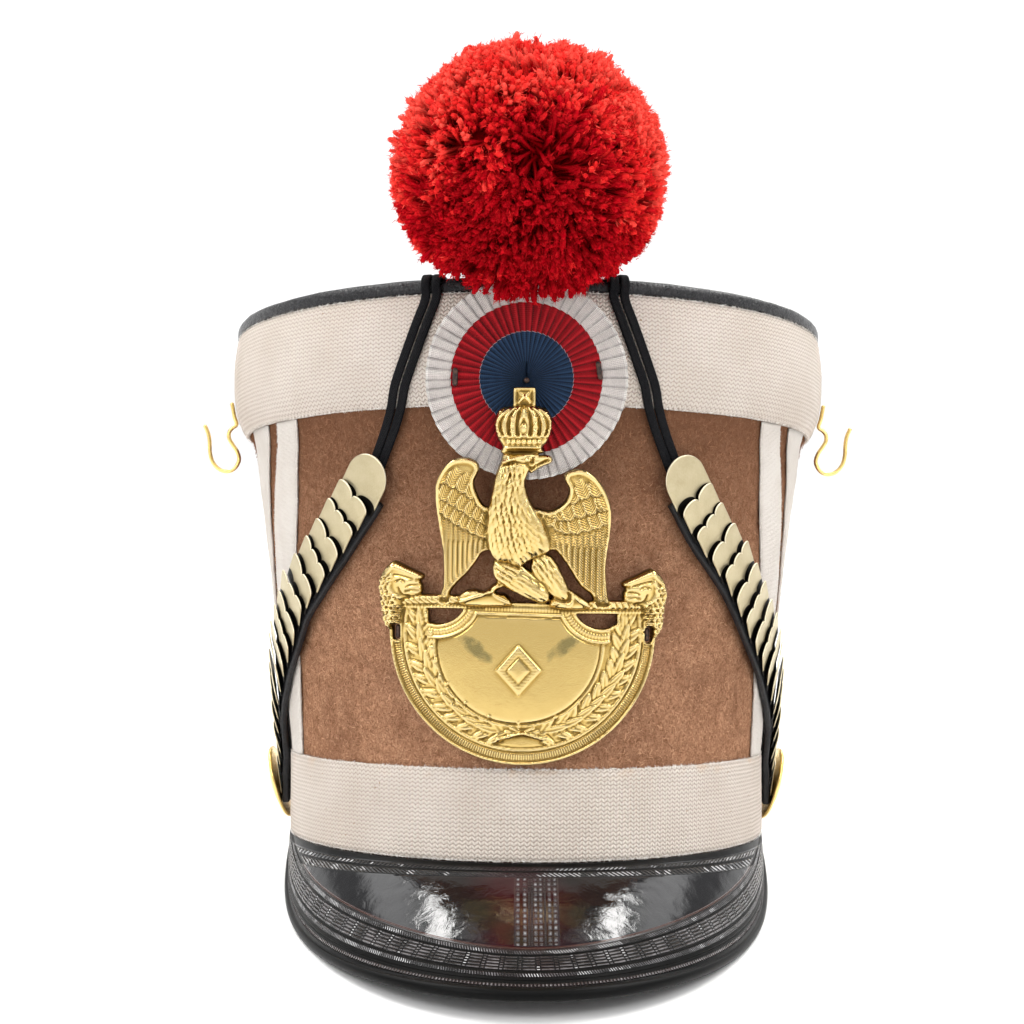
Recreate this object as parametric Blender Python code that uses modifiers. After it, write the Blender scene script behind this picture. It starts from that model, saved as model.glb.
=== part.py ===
"""Shako hat: felt body, leather crown and peak, webbing bands, brass plate, chin scales and pompom.

Every piece is modelled in the hat's own frame, in millimetres: the hat's axis is Z, z = 0 is the lower
edge of the bottom band, the front faces -Y and the hat's left side, as seen from the front, is at -X.
An angle round the hat is counted from the front, positive towards +X.
The finished hat leans back until it rests on both sides of the peak and on the back of its rim.
"""

import math

import bmesh
import bpy
from mathutils import Matrix, Vector, geometry

MM = 0.001

# Felt body, outer side: height, half width, depth divided by width.
HULL = (
    (0.0, 88.8, 1.200),
    (30.0, 89.0, 1.200),
    (60.0, 92.4, 1.170),
    (85.0, 96.4, 1.150),
    (105.0, 98.7, 1.130),
    (122.0, 101.0, 1.120),
    (142.0, 104.8, 1.100),
    (149.0, 107.2, 1.090),
    (156.0, 111.4, 1.085),
    (164.0, 112.5, 1.080),
    (175.0, 112.7, 1.075),
    (183.0, 111.8, 1.070),
    (186.0, 111.1, 1.070),
)
FELT_WALL = 2.4
FELT_INNER_ROWS = (186.0, 164.0, 149.0, 122.0, 60.0, 0.0)
RIM_TOP = 186.0
SEGMENTS = 40
GAP = 0.3

# Bands of webbing round the felt.
BAND_OUT = 1.4
TOP_BAND_LOW = 149.0
BOTTOM_BAND_TOP = 30.0

# Crown, from the middle of its disc over the roll and back under it: height, distance outside the felt.
CROWN_DISC_TOP = 188.4
CROWN_SECTIONS = (
    (CROWN_DISC_TOP, -16.0),
    (189.4, -7.0),
    (190.8, -3.2),
    (191.0, -1.4),
    (190.2, 0.5),
    (188.6, 1.5),
    (186.3, 1.4),
    (186.3, -2.7),
    (181.0, -2.8),
    (181.0, -5.0),
    (186.2, -6.6),
    (186.4, -16.0),
)

# Tapes on the sides: height, angle of the front edge, angle of the rear edge.
OUTER_TAPE = (
    (148.7, 49.0, 56.0),
    (135.0, 51.5, 60.5),
    (117.0, 54.3, 66.5),
    (97.0, 57.5, 70.0),
    (85.0, 58.8, 71.0),
    (60.0, 61.6, 73.0),
    (30.3, 65.0, 75.5),
)
# The inner tape is a V: its outer edge and its inner edge, down to the point at the hat's side.
INNER_TAPE = (
    (148.7, 60.5, 148.7, 70.5),
    (136.0, 65.0, 136.0, 75.0),
    (117.0, 70.8, 117.0, 80.8),
    (85.0, 76.2, 85.0, 86.2),
    (60.0, 79.5, 70.0, 88.4),
    (30.3, 83.0, 62.0, 89.4),
    (30.3, 90.0, 60.0, 90.0),
)
TAPE_THICKNESS = 1.0

# Peak: its free edge is an ellipse in plan, raised towards the sides.
PEAK_HALF_WIDTH = 90.0
PEAK_REACH = 157.0
PEAK_LOW = -33.4
PEAK_RISE = 25.8
PEAK_RISE_POWER = 2.7
PEAK_THICKNESS = 2.4
PEAK_STATIONS = 32
WELT_WIDTH = 4.2
WELT_HEIGHT = 0.9
SETTLE = 0.4

# Cockade: a pleated disc that leans forward over the top band.
COCKADE_CENTRE = Vector((-0.7, -127.5, 156.2))
COCKADE_LEAN = math.radians(9.0)
COCKADE_RADIUS = 32.5
COCKADE_THICKNESS = 2.0
PLEATS = 56
PLEAT_DEPTH = 0.55
STAPLE_SIZE = (0.9, 5.8, 0.7)
# Each staple's place on the cockade's face: across it, up it.
STAPLE_PLACES = {"left": (-23.6, 0.4), "right": (22.6, 2.6)}

# Pompom: a wool ball on a plain stem, cut away where the hat's rim and the cockade press into it.
POMPOM_CENTRE = Vector((-1.2, -134.0, 221.7))
POMPOM_RADIUS = 45.0
POMPOM_SQUASH = Vector((1.0, 1.0, 0.955))
POMPOM_TUFTS = 230
TUFT_DEPTH = 4.2
TUFT_CLEARANCE = 0.11
PARTING = Vector((0.05, -0.98, -0.1))
PARTING_DEPTH = 5.0
PARTING_SPREAD = 0.93
POMPOM_CUT_FRONT = -133.8
POMPOM_CUT_TOP = 193.8
POMPOM_CUT_SIZE = (200.0, 120.0, 60.0)
STEM_FOOT = Vector((0.0, -124.3, 161.5))
STEM_LENGTH = 62.0
STEM_RADIUS = 1.2

# Chin scales. Centre line down each side: height, angle on the left, angle on the right.
STRAP_LINE = (
    (133.5, 28.0, 26.4),
    (121.5, 33.0, 31.3),
    (112.5, 37.8, 35.2),
    (104.0, 42.7, 40.0),
    (95.0, 48.6, 45.6),
    (86.0, 55.2, 50.7),
    (76.5, 60.8, 57.0),
    (67.0, 68.0, 64.3),
    (57.0, 75.5, 72.0),
    (47.0, 81.5, 79.3),
    (35.0, 86.3, 85.3),
    (26.0, 88.7, 88.4),
    (17.0, 90.0, 90.0),
    (8.0, 90.6, 90.6),
)
SCALE_ROWS = 16
SCALE_WIDTH_TOP = 17.0
SCALE_WIDTH_LOW = 23.0
SCALE_THICKNESS = 0.5
SCALE_OVERLAP = 1.5
SCALE_SLOPE = 0.165
SCALLOP_DEPTH = 0.3
SCALE_BASE = 4.4
LOBE_STEPS = 4
TONGUE_LENGTH = 18.5
# Across the strap, as a share of its width, and distance outside the felt.
STRAP_SECTION = (
    (-0.5, 2.25), (-0.47, 1.75), (0.47, 1.75), (0.5, 2.25),
    (0.5, 3.1), (0.47, 3.6), (-0.47, 3.6), (-0.5, 3.1),
)
STRAP_START = 13.0
STRAP_FORWARD = 2.6
STRAP_STATIONS = 14
STRAP_WIDENING = 5.0
STRAP_PAST_BOSS = 6.0
LAST_SCALE_PAST_BOSS = 2.0
ARC_PER_DEGREE = 1.9
BOSS_HEIGHT = 17.0
BOSS_PROFILE = ((0.0, 4.0), (5.0, 3.5), (9.5, 2.3), (12.6, 1.1), (14.0, 0.9), (14.0, 0.0), (0.0, 0.0))
BOSS_BASE = 5.85
BOSS_LEAN = math.radians(15.8)

# Laces: angle on the left at the rim and at the scales, then on the right at the rim and the scales.
# The last column is how far the lace runs back over the crown, behind the pompom.
LACES = {
    "tie_lace_outer": (-17.35, -30.0, 15.45, 27.95, 25.0),
    "tie_lace_inner": (-15.45, -28.0, 13.55, 25.95, 18.0),
}
LACE_WIDTH = 3.1
LACE_THICKNESS = 1.1
LACE_OFF = 1.75
LACE_TOP = 184.0
LACE_LOW = 131.0
LACE_END = 126.0
LACE_ROWS = (LACE_END, LACE_LOW, 142.0, 149.5, 156.0, 166.0, 176.0, LACE_TOP)
# Over the rim: distance outside the felt, height above the felt's top edge, tilt of the lace in degrees.
LACE_OVER_RIM = ((2.4, 2.4, 25.0), (1.7, 4.7, 50.0), (-1.0, 5.6, 85.0))
LACE_SWINGS = (15.0, 40.0, 65.0)

# Wire hooks at the top band: distance from the middle, height.
HOOK_WIRE = (
    (114.4, 163.0),
    (113.3, 157.5),
    (112.4, 154.4),
    (114.0, 153.0),
    (115.2, 151.3),
    (115.2, 149.0),
    (113.9, 146.7),
    (112.1, 144.0),
    (111.2, 141.0),
    (112.2, 138.2),
    (114.2, 136.5),
    (116.7, 136.2),
    (119.3, 137.3),
    (121.5, 140.0),
    (122.5, 143.6),
    (122.7, 147.4),
    (123.3, 150.8),
    (124.8, 154.2),
)
HOOK_RADIUS = 0.75
HOOK_Y = -14.0

# Brass plate. Its sheet bends round the felt and leans forward at the top: height, distance in front.
PLATE_LINE = ((32.0, 109.8), (60.0, 111.5), (85.0, 114.0), (105.0, 118.6), (124.0, 124.6), (153.0, 129.2))
PLATE_BEND = (97.0, 111.0)
PLATE_FLATTENED = 0.6
PLATE_FLAT_FROM = 90.0
PLATE_FLAT_OVER = 30.0
PLATE_X = -2.2
PLATE_SHEET = 0.8
PLATE_SPACING = 4.3
SHIELD_CENTRE = (0.0, 75.0)
SHIELD_RADIUS = 43.4
WREATH_RING = (27.0, 38.0)
WREATH_LIFT = 0.9

# Outline of the plate, each stretch as x, z from the shield's middle line.
CROWN_AND_NECK = (
    (-3.0, 153.0), (-3.0, 147.6), (-6.4, 147.0), (-8.9, 142.2), (-8.2, 138.8), (-5.8, 133.7),
    (-7.0, 129.0), (-10.2, 122.0), (-12.1, 116.3),
)
LEFT_WING = (
    (-15.0, 121.0), (-14.6, 125.2), (-13.6, 128.4), (-15.4, 131.0), (-19.0, 131.8), (-23.6, 130.0),
    (-27.2, 124.8), (-28.4, 120.0), (-27.6, 112.3), (-26.2, 101.0), (-26.0, 92.5), (-27.3, 88.0),
)
LION_HEAD = (
    (-33.0, 87.9), (-33.1, 92.0), (-32.4, 94.3), (-38.4, 97.6), (-42.6, 99.2), (-46.8, 97.2),
    (-48.5, 91.0), (-47.5, 82.7), (-46.2, 78.4), (-43.9, 75.4),
)
LION_DROP = 2.3
RIGHT_WING = (
    (27.0, 88.0), (26.4, 91.5), (26.8, 98.5), (28.1, 110.1), (28.4, 115.6), (26.2, 121.4),
    (21.8, 126.3), (17.4, 127.8), (13.8, 126.6), (12.9, 123.6), (13.9, 120.0), (8.2, 114.2),
)
BEAK_AND_CROWN = (
    (3.4, 116.9), (0.8, 121.7), (2.4, 125.4), (8.3, 129.0), (9.3, 131.0), (6.4, 132.0),
    (5.3, 133.3), (8.0, 136.6), (9.1, 141.0), (6.8, 146.6), (3.9, 147.0), (3.9, 153.0),
)
PLATE_GAPS = (
    ((-11.0, 103.0), (-10.3, 99.5), (-10.0, 92.0), (-14.0, 89.9), (-19.0, 89.4), (-23.2, 87.8),
     (-20.4, 91.6), (-16.0, 97.4)),
    ((-9.4, 89.4), (-4.5, 89.2), (2.4, 85.8), (0.0, 84.7), (-4.0, 84.8), (-6.0, 87.6)),
    ((8.6, 101.9), (11.4, 101.0), (14.8, 96.4), (18.6, 91.2), (23.2, 87.2), (20.0, 86.2),
     (14.6, 89.2), (11.6, 96.4)),
    ((-30.5, 82.9), (-19.8, 81.9), (-23.4, 78.4), (-29.6, 77.6)),
    ((30.0, 81.6), (17.8, 80.4), (20.4, 77.0), (29.4, 75.2)),
    ((-43.4, 77.7), (-41.0, 77.4), (-40.8, 72.4), (-43.0, 72.3)),
    ((43.0, 76.9), (40.4, 77.0), (40.4, 71.6), (42.6, 71.6)),
)
# Raised parts of the plate: x, z, half width, half height, lift above the sheet.
PLATE_BUMPS = (
    (-3.0, 107.0, 8.5, 15.0, 4.0),
    (-3.0, 124.0, 6.0, 9.0, 3.0),
    (0.4, 141.5, 8.0, 6.5, 2.6),
    (-20.5, 112.0, 8.0, 20.0, 1.6),
    (20.5, 108.0, 8.0, 20.0, 1.6),
    (5.0, 96.0, 8.0, 9.0, 3.0),
    (-6.0, 94.0, 7.0, 9.0, 2.6),
    (-41.0, 88.0, 8.5, 11.0, 3.4),
    (41.0, 86.0, 8.5, 11.0, 3.4),
    (0.0, 62.0, 27.0, 20.0, 1.8),
)


# ------------------------------------------------------------------------------------------ helpers


def start_scene():
    """Empties the scene; returns the collection of the parts, that of the cutters and the hat's empty."""
    for leftover in list(bpy.data.objects):
        bpy.data.objects.remove(leftover, do_unlink=True)
    parts = bpy.data.collections.new("shako_hat")
    cutters = bpy.data.collections.new("cutters")
    for collection in (parts, cutters):
        bpy.context.scene.collection.children.link(collection)
    hat = bpy.data.objects.new("hat", None)
    parts.objects.link(hat)
    return parts, cutters, hat


PARTS, CUTTERS, HAT = start_scene()


def material(name, color, roughness, metallic=0.0):
    """A plain surface of one colour."""
    made = bpy.data.materials.new(name)
    made.use_nodes = True
    shader = made.node_tree.nodes["Principled BSDF"]
    shader.inputs["Base Color"].default_value = (*color, 1.0)
    shader.inputs["Roughness"].default_value = roughness
    shader.inputs["Metallic"].default_value = metallic
    made.diffuse_color = (*color, 1.0)
    return made


FELT = material("brown_felt", (0.30, 0.16, 0.10), 0.95)
WEBBING = material("cream_webbing", (0.78, 0.73, 0.67), 0.9)
PATENT = material("black_patent_leather", (0.02, 0.016, 0.017), 0.12)
LEATHER = material("black_leather", (0.02, 0.02, 0.022), 0.4)
LACE = material("black_lace", (0.015, 0.015, 0.017), 0.6)
BRASS = material("polished_brass", (0.86, 0.62, 0.24), 0.2, 1.0)
PALE_BRASS = material("brushed_brass", (0.80, 0.70, 0.46), 0.32, 1.0)
IRON = material("dark_iron", (0.05, 0.04, 0.04), 0.5, 1.0)
WOOL = material("red_wool", (0.68, 0.03, 0.02), 0.95)
RIBBON = material("tricolour_ribbon", (0.55, 0.05, 0.07), 0.6)


def adopt(obj, surface, smooth_below=math.radians(35)):
    """Puts a part on the hat, gives it its material and smooth shading up to a crease angle."""
    PARTS.objects.link(obj)
    obj.parent = HAT
    obj.data.materials.append(surface)
    if obj.type == "MESH":
        obj.data.shade_smooth()
        obj.data.set_sharp_from_angle(angle=smooth_below)
    return obj


def mesh_part(name, shape, surface):
    """Turns a finished bmesh, in millimetres, into a part."""
    bmesh.ops.recalc_face_normals(shape, faces=shape.faces)
    bmesh.ops.scale(shape, vec=(MM, MM, MM), verts=shape.verts)
    mesh = bpy.data.meshes.new(name)
    shape.to_mesh(mesh)
    shape.free()
    return adopt(bpy.data.objects.new(name, mesh), surface)


def loft(name, sections, surface, ring=False):
    """A solid through closed sections of equally many points; a ring joins the last to the first."""
    shape = bmesh.new()
    rows = [[shape.verts.new(point) for point in section] for section in sections]
    following = rows[1:] + rows[:1] if ring else rows[1:]
    for row, after in zip(rows, following):
        for i in range(len(row)):
            j = (i + 1) % len(row)
            shape.faces.new((row[i], row[j], after[j], after[i]))
    if not ring:
        shape.faces.new(rows[0])
        shape.faces.new(rows[-1])
    return mesh_part(name, shape, surface)


def between(table, z, column):
    """Reads a column of a table at a height, on straight lines between its rows."""
    rows = sorted(table)
    if z <= rows[0][0]:
        return rows[0][column]
    for low, high in zip(rows, rows[1:]):
        if z <= high[0]:
            share = (z - low[0]) / (high[0] - low[0])
            return low[column] + share * (high[column] - low[column])
    return rows[-1][column]


def hull(z, angle, off=0.0):
    """The felt's outer side at a height and an angle in radians, or a point that far outside it."""
    half_width = between(HULL, z, 1)
    half_depth = half_width * between(HULL, z, 2)
    return Vector(((half_width + off) * math.sin(angle), -(half_depth + off) * math.cos(angle), z))


def hull_normal(z, angle):
    """The direction straight out of the felt."""
    step = 0.02
    around = hull(z, angle + step) - hull(z, angle - step)
    upward = hull(z + 4.0, angle) - hull(z - 4.0, angle)
    return around.cross(upward).normalized()


def turn(count):
    """Equal angles all round, the first at the front."""
    return [math.tau * i / count for i in range(count)]


def smooth_curve(points, count):
    """Equally spaced points on a smooth curve through the given ones."""
    ends = [2 * points[0] - points[1]] + list(points) + [2 * points[-1] - points[-2]]
    dense = []
    for before, start, end, after in zip(ends, ends[1:], ends[2:], ends[3:]):
        handle_start = start + (end - before) / 6
        handle_end = end - (after - start) / 6
        dense += geometry.interpolate_bezier(start, handle_start, handle_end, end, 13)[:-1]
    dense.append(points[-1])
    lengths = [0.0]
    for one, other in zip(dense, dense[1:]):
        lengths.append(lengths[-1] + (other - one).length)
    spaced = []
    piece = 0
    for i in range(count):
        wanted = lengths[-1] * i / (count - 1)
        while piece < len(dense) - 2 and lengths[piece + 1] < wanted:
            piece += 1
        share = (wanted - lengths[piece]) / (lengths[piece + 1] - lengths[piece])
        spaced.append(dense[piece].lerp(dense[piece + 1], min(1.0, share)))
    return spaced


def frame_at(origin, across, along):
    """A placing whose X runs across, Y along and Z outward; its lengths are in metres."""
    outward = across.cross(along).normalized()
    across = along.cross(outward).normalized()
    placed = Matrix((across, along.normalized(), outward)).transposed().to_4x4()
    placed.translation = origin * MM
    return placed


def flat_part(name, outline, thickness, placing, surface):
    """A flat sheet of metal from its outline, lying on its own XY plane."""
    curve = bpy.data.curves.new(name, "CURVE")
    curve.dimensions = "2D"
    curve.fill_mode = "BOTH"
    curve.extrude = thickness * MM / 2
    spline = curve.splines.new("POLY")
    spline.points.add(len(outline) - 1)
    spline.use_cyclic_u = True
    for point, (x, y) in zip(spline.points, outline):
        point.co = (x * MM, y * MM, 0.0, 1.0)
    sheet = adopt(bpy.data.objects.new(name, curve), surface)
    sheet.matrix_local = placing @ Matrix.Translation((0.0, 0.0, thickness * MM / 2))
    return sheet


# --------------------------------------------------------------------------------- how the hat rests


def peak_edge(angle):
    """The peak's free edge."""
    rise = PEAK_RISE * (1.0 - math.cos(angle)) ** PEAK_RISE_POWER
    return Vector((PEAK_HALF_WIDTH * math.sin(angle), -PEAK_REACH * math.cos(angle), PEAK_LOW + rise))


def peak_section(angle):
    """The peak's closed section: a flange under the rim, the slope, and the welt at the free edge."""
    bend = hull(0.0, angle, BAND_OUT + 0.1)
    bend.z = -GAP
    edge = peak_edge(angle)
    slope = (edge - bend).normalized()
    along = peak_edge(angle + 0.01) - peak_edge(angle - 0.01)
    outward = along.cross(slope).normalized()
    if outward.dot(Vector((math.sin(angle), -math.cos(angle), 1.0))) < 0:
        outward = -outward
    flange_top = hull(0.0, angle, -FELT_WALL)
    flange_top.z = -GAP
    flange_low = hull(0.0, angle, -FELT_WALL)
    flange_low.z = -GAP - PEAK_THICKNESS
    return [
        flange_top,
        bend,
        edge - slope * WELT_WIDTH,
        edge - slope * (0.8 * WELT_WIDTH) + outward * WELT_HEIGHT,
        edge - slope * (0.25 * WELT_WIDTH) + outward * WELT_HEIGHT,
        edge - outward * (0.3 * PEAK_THICKNESS),
        edge - slope * 0.8 - outward * PEAK_THICKNESS,
        bend + slope * 3.2 - outward * PEAK_THICKNESS,
        flange_low,
    ]


PEAK_SECTIONS = [
    peak_section(math.radians(-90.0 + 180.0 * i / (PEAK_STATIONS - 1))) for i in range(PEAK_STATIONS)
]


def height_when_leaning(point, lean):
    """Height of a point once the hat has leaned back by an angle."""
    return point.z * math.cos(lean) - point.y * math.sin(lean)


def resting_lean():
    """The angle at which the peak and the back of the bottom band are equally low."""
    back = hull(0.0, math.pi, BAND_OUT)
    peak_points = [point for section in PEAK_SECTIONS for point in section]
    low, high = 0.0, math.radians(20.0)
    for _ in range(40):
        lean = (low + high) / 2
        peak_height = min(height_when_leaning(point, lean) for point in peak_points)
        if peak_height < height_when_leaning(back, lean):
            low = lean
        else:
            high = lean
    return lean


LEAN = resting_lean()
FLOOR = height_when_leaning(hull(0.0, math.pi, BAND_OUT), LEAN) + SETTLE
FLOOR_NORMAL = Vector((0.0, -math.sin(LEAN), math.cos(LEAN)))


def settled(point):
    """Leather, felt and webbing are flattened where they rest on the floor."""
    return point + FLOOR_NORMAL * max(0.0, FLOOR - height_when_leaning(point, LEAN))


# --------------------------------------------------------------------------- felt, bands and leather


def hull_ring(name, profile, surface):
    """A closed profile of heights and distances outside the felt, carried round the hat."""
    sections = [[settled(hull(z, angle, off)) for z, off in profile] for angle in turn(SEGMENTS)]
    return loft(name, sections, surface, ring=True)


def hull_rows(low, high):
    """Heights of the felt's rows from low to high, both ends among them."""
    return [low] + [row[0] for row in HULL if low < row[0] < high] + [high]


def make_body():
    """The felt tube and the two bands of webbing round it."""
    outer = [(row[0], 0.0) for row in HULL]
    inner = [(z, -FELT_WALL) for z in FELT_INNER_ROWS]
    hull_ring("felt_body", outer + inner, FELT)
    for name, low, high in (("bottom_band", 0.0, BOTTOM_BAND_TOP), ("top_band", TOP_BAND_LOW, RIM_TOP)):
        rows = hull_rows(low, high)
        profile = [(z, BAND_OUT) for z in rows] + [(z, GAP) for z in reversed(rows)]
        hull_ring(name, profile, WEBBING)


def make_crown():
    """The leather crown: its flat disc closes the loft at both ends."""
    sections = []
    for z, off in CROWN_SECTIONS:
        ring = [hull(RIM_TOP, angle, off) for angle in turn(SEGMENTS)]
        sections.append([Vector((point.x, point.y, z)) for point in ring])
    return loft("crown_top", sections, LEATHER)


def tape_section(front, rear):
    """Six points across a tape, from its front edge to its rear edge, each a height and an angle."""
    middle = tuple((one + other) / 2 for one, other in zip(front, rear))
    outside = [hull(z, math.radians(a), GAP + TAPE_THICKNESS) for z, a in (front, middle, rear)]
    inside = [hull(z, math.radians(a), GAP) for z, a in (rear, middle, front)]
    return outside + inside


def make_chevrons():
    """Two tapes on each side of the hat: an outer pair and an inner V."""
    for side, sign in (("left", -1), ("right", 1)):
        for place, rear_half in (("front", False), ("back", True)):
            sections = []
            for z, front, rear in OUTER_TAPE:
                if rear_half:
                    front, rear = 180.0 - front, 180.0 - rear
                sections.append(tape_section((z, sign * front), (z, sign * rear)))
            loft(f"chevron_{side}_outer_{place}", sections, WEBBING)
        down = [((z, a), (zi, ai)) for z, a, zi, ai in INNER_TAPE]
        up = [((z, 180.0 - a), (zi, 180.0 - ai)) for z, a, zi, ai in reversed(INNER_TAPE[:-1])]
        sections = []
        for (z, a), (inner_z, inner_a) in down + up:
            sections.append(tape_section((z, sign * a), (inner_z, sign * inner_a)))
        loft(f"chevron_{side}_inner", sections, WEBBING)


def make_peak():
    """The leather visor under the front of the rim."""
    sections = [[settled(point) for point in section] for section in PEAK_SECTIONS]
    return loft("peak", sections, PATENT)


# -------------------------------------------------------------------------------- cockade and pompom


def cockade_point(x, up, out):
    """A point given on the cockade's face: across, up it, and out of it."""
    upward = Vector((0.0, -math.sin(COCKADE_LEAN), math.cos(COCKADE_LEAN)))
    outward = Vector((0.0, -math.cos(COCKADE_LEAN), -math.sin(COCKADE_LEAN)))
    return COCKADE_CENTRE + Vector((x, 0.0, 0.0)) + upward * up + outward * out


def make_cockade():
    """The pleated disc and the two staples that hold it."""
    shape = bmesh.new()
    rims = []
    for base in (0.0, -COCKADE_THICKNESS):
        rim = []
        for i, angle in enumerate(turn(2 * PLEATS)):
            fold = PLEAT_DEPTH * (i % 2) if base == 0.0 else 0.0
            place = (COCKADE_RADIUS * math.sin(angle), COCKADE_RADIUS * math.cos(angle))
            rim.append(shape.verts.new(cockade_point(*place, base + fold)))
        rims.append(rim)
    for rim, middle in zip(rims, (0.0, -COCKADE_THICKNESS)):
        centre = shape.verts.new(cockade_point(0.0, 0.0, middle))
        for one, other in zip(rim, rim[1:] + rim[:1]):
            shape.faces.new((centre, one, other))
    front, back = rims
    for i in range(2 * PLEATS):
        j = (i + 1) % (2 * PLEATS)
        shape.faces.new((front[i], front[j], back[j], back[i]))
    mesh_part("cockade", shape, RIBBON)

    for side, (across, up) in STAPLE_PLACES.items():
        shape = bmesh.new()
        bmesh.ops.create_cube(shape, size=1.0)
        bmesh.ops.scale(shape, vec=STAPLE_SIZE, verts=shape.verts)
        staple = mesh_part(f"cockade_staple_{side}", shape, IRON)
        out = PLEAT_DEPTH + GAP + STAPLE_SIZE[2] / 2
        staple.location = cockade_point(across, up, out) * MM
        staple.rotation_euler = (math.pi / 2 + COCKADE_LEAN, 0.0, 0.0)


def golden_directions(count):
    """Directions spread evenly over a sphere, along a spiral."""
    golden_angle = math.pi * (3.0 - math.sqrt(5.0))
    spread = []
    for i in range(count):
        up = 1.0 - (2.0 * i + 1.0) / count
        across = math.sqrt(1.0 - up * up)
        spread.append(Vector((across * math.cos(golden_angle * i), across * math.sin(golden_angle * i), up)))
    return spread


def make_pompom():
    """Tufts stand on a round head; the wool parts in front, and is cut where the rim presses into it."""
    shape = bmesh.new()
    tufts = golden_directions(POMPOM_TUFTS)
    head = [direction for direction in golden_directions(3 * POMPOM_TUFTS)
            if min((direction - tuft).length for tuft in tufts) > TUFT_CLEARANCE]
    for direction in tufts + head:
        shape.verts.new(direction)
    bmesh.ops.convex_hull(shape, input=shape.verts)
    shape.verts.ensure_lookup_table()
    parting = PARTING.normalized()
    for i, vert in enumerate(shape.verts):
        radius = POMPOM_RADIUS if i < POMPOM_TUFTS else POMPOM_RADIUS - TUFT_DEPTH
        hollow = max(0.0, vert.co.dot(parting) - PARTING_SPREAD) / (1.0 - PARTING_SPREAD)
        vert.co = POMPOM_CENTRE + vert.co * POMPOM_SQUASH * (radius - PARTING_DEPTH * hollow)
    ball = mesh_part("pompom", shape, WOOL)

    shape = bmesh.new()
    bmesh.ops.create_cube(shape, size=1.0)
    _, deep, tall = POMPOM_CUT_SIZE
    bmesh.ops.scale(shape, vec=POMPOM_CUT_SIZE, verts=shape.verts)
    shift = (0.0, POMPOM_CUT_FRONT + deep / 2, POMPOM_CUT_TOP - tall / 2)
    bmesh.ops.translate(shape, vec=shift, verts=shape.verts)
    cut_pompom(ball, cutter("pompom_rim_cut", shape))

    upward = Vector((0.0, -math.sin(COCKADE_LEAN), math.cos(COCKADE_LEAN)))
    turned = upward.to_track_quat("Z", "Y").to_matrix().to_4x4()
    for name, radius, length in (("pompom_stem", STEM_RADIUS, STEM_LENGTH),
                                 ("pompom_bore", STEM_RADIUS + GAP, STEM_LENGTH + 2 * GAP)):
        shape = bmesh.new()
        bmesh.ops.create_cone(shape, cap_ends=True, segments=12, radius1=radius, radius2=radius,
                              depth=length)
        middle = STEM_FOOT + upward * (length / 2)
        bmesh.ops.transform(shape, matrix=Matrix.Translation(middle) @ turned, verts=shape.verts)
        if name == "pompom_stem":
            mesh_part(name, shape, IRON)
        else:
            cut_pompom(ball, cutter(name, shape))


def cutter(name, shape):
    """A hidden solid, in millimetres, for a cut."""
    made = mesh_part(name, shape, IRON)
    PARTS.objects.unlink(made)
    CUTTERS.objects.link(made)
    made.hide_render = True
    made.display_type = "WIRE"
    return made


def cut_pompom(ball, tool):
    """Takes a hidden solid out of the pompom."""
    cut = ball.modifiers.new(tool.name, "BOOLEAN")
    cut.operation = "DIFFERENCE"
    cut.solver = "EXACT"
    cut.object = tool


# ------------------------------------------------------------------------------- chin scales and laces


def strap_curve(side):
    """The strap's centre line on the felt as heights and angles, closely and equally spaced."""
    column = 1 if side == "left" else 2
    sign = -1 if side == "left" else 1
    felt_points = [Vector((row[0], sign * row[column], 0.0)) for row in STRAP_LINE]
    # Angles are scaled to arc length while the curve is spaced out, then scaled back.
    scaled = [Vector((point.x, point.y * ARC_PER_DEGREE, 0.0)) for point in felt_points]
    return [(point.x, math.radians(point.y / ARC_PER_DEGREE)) for point in smooth_curve(scaled, 240)]


class StrapLine:
    """Places along a chin strap, by the distance in millimetres from its upper end."""

    def __init__(self, side):
        self.places = strap_curve(side)
        self.points = [hull(z, angle) for z, angle in self.places]
        self.lengths = [0.0]
        for one, other in zip(self.points, self.points[1:]):
            self.lengths.append(self.lengths[-1] + (other - one).length)
        self.sign = -1 if side == "left" else 1

    def index(self, distance):
        return min(range(len(self.lengths)), key=lambda i: abs(self.lengths[i] - distance))

    def distance_at_height(self, z):
        return self.lengths[min(range(len(self.places)), key=lambda i: abs(self.places[i][0] - z))]

    def frame(self, distance):
        """Point on the felt, direction outward, direction up the strap, direction across to +X."""
        i = self.index(distance)
        outward = hull_normal(*self.places[i])
        before, after = max(0, i - 4), min(len(self.points) - 1, i + 4)
        upward = (self.points[before] - self.points[after]).normalized()
        upward = (upward - outward * upward.dot(outward)).normalized()
        return self.points[i], outward, upward, upward.cross(outward)


def scale_outline(width, length, lobes):
    """A scale seen flat: a straight lower end and a row of round lobes at its upper end."""
    lobe = width / lobes
    depth = SCALLOP_DEPTH * lobe
    outline = [(-0.5 * width, 0.0), (0.5 * width, 0.0)]
    for number in range(lobes):
        centre = width / 2 - lobe * (number + 0.5)
        for step in range(LOBE_STEPS + 1):
            if number > 0 and step == 0:
                continue
            angle = math.pi * step / LOBE_STEPS
            outline.append((centre + lobe / 2 * math.cos(angle), length - depth + depth * math.sin(angle)))
    return outline


def tongue_outline(width, length):
    """The end plate seen flat: a straight lower end and a half-round top."""
    outline = [(-0.5 * width, 0.0), (0.5 * width, 0.0)]
    steps = 10
    for step in range(steps + 1):
        angle = math.pi * step / steps
        outline.append((width / 2 * math.cos(angle), length - width / 2 + width / 2 * math.sin(angle)))
    return outline


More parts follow.
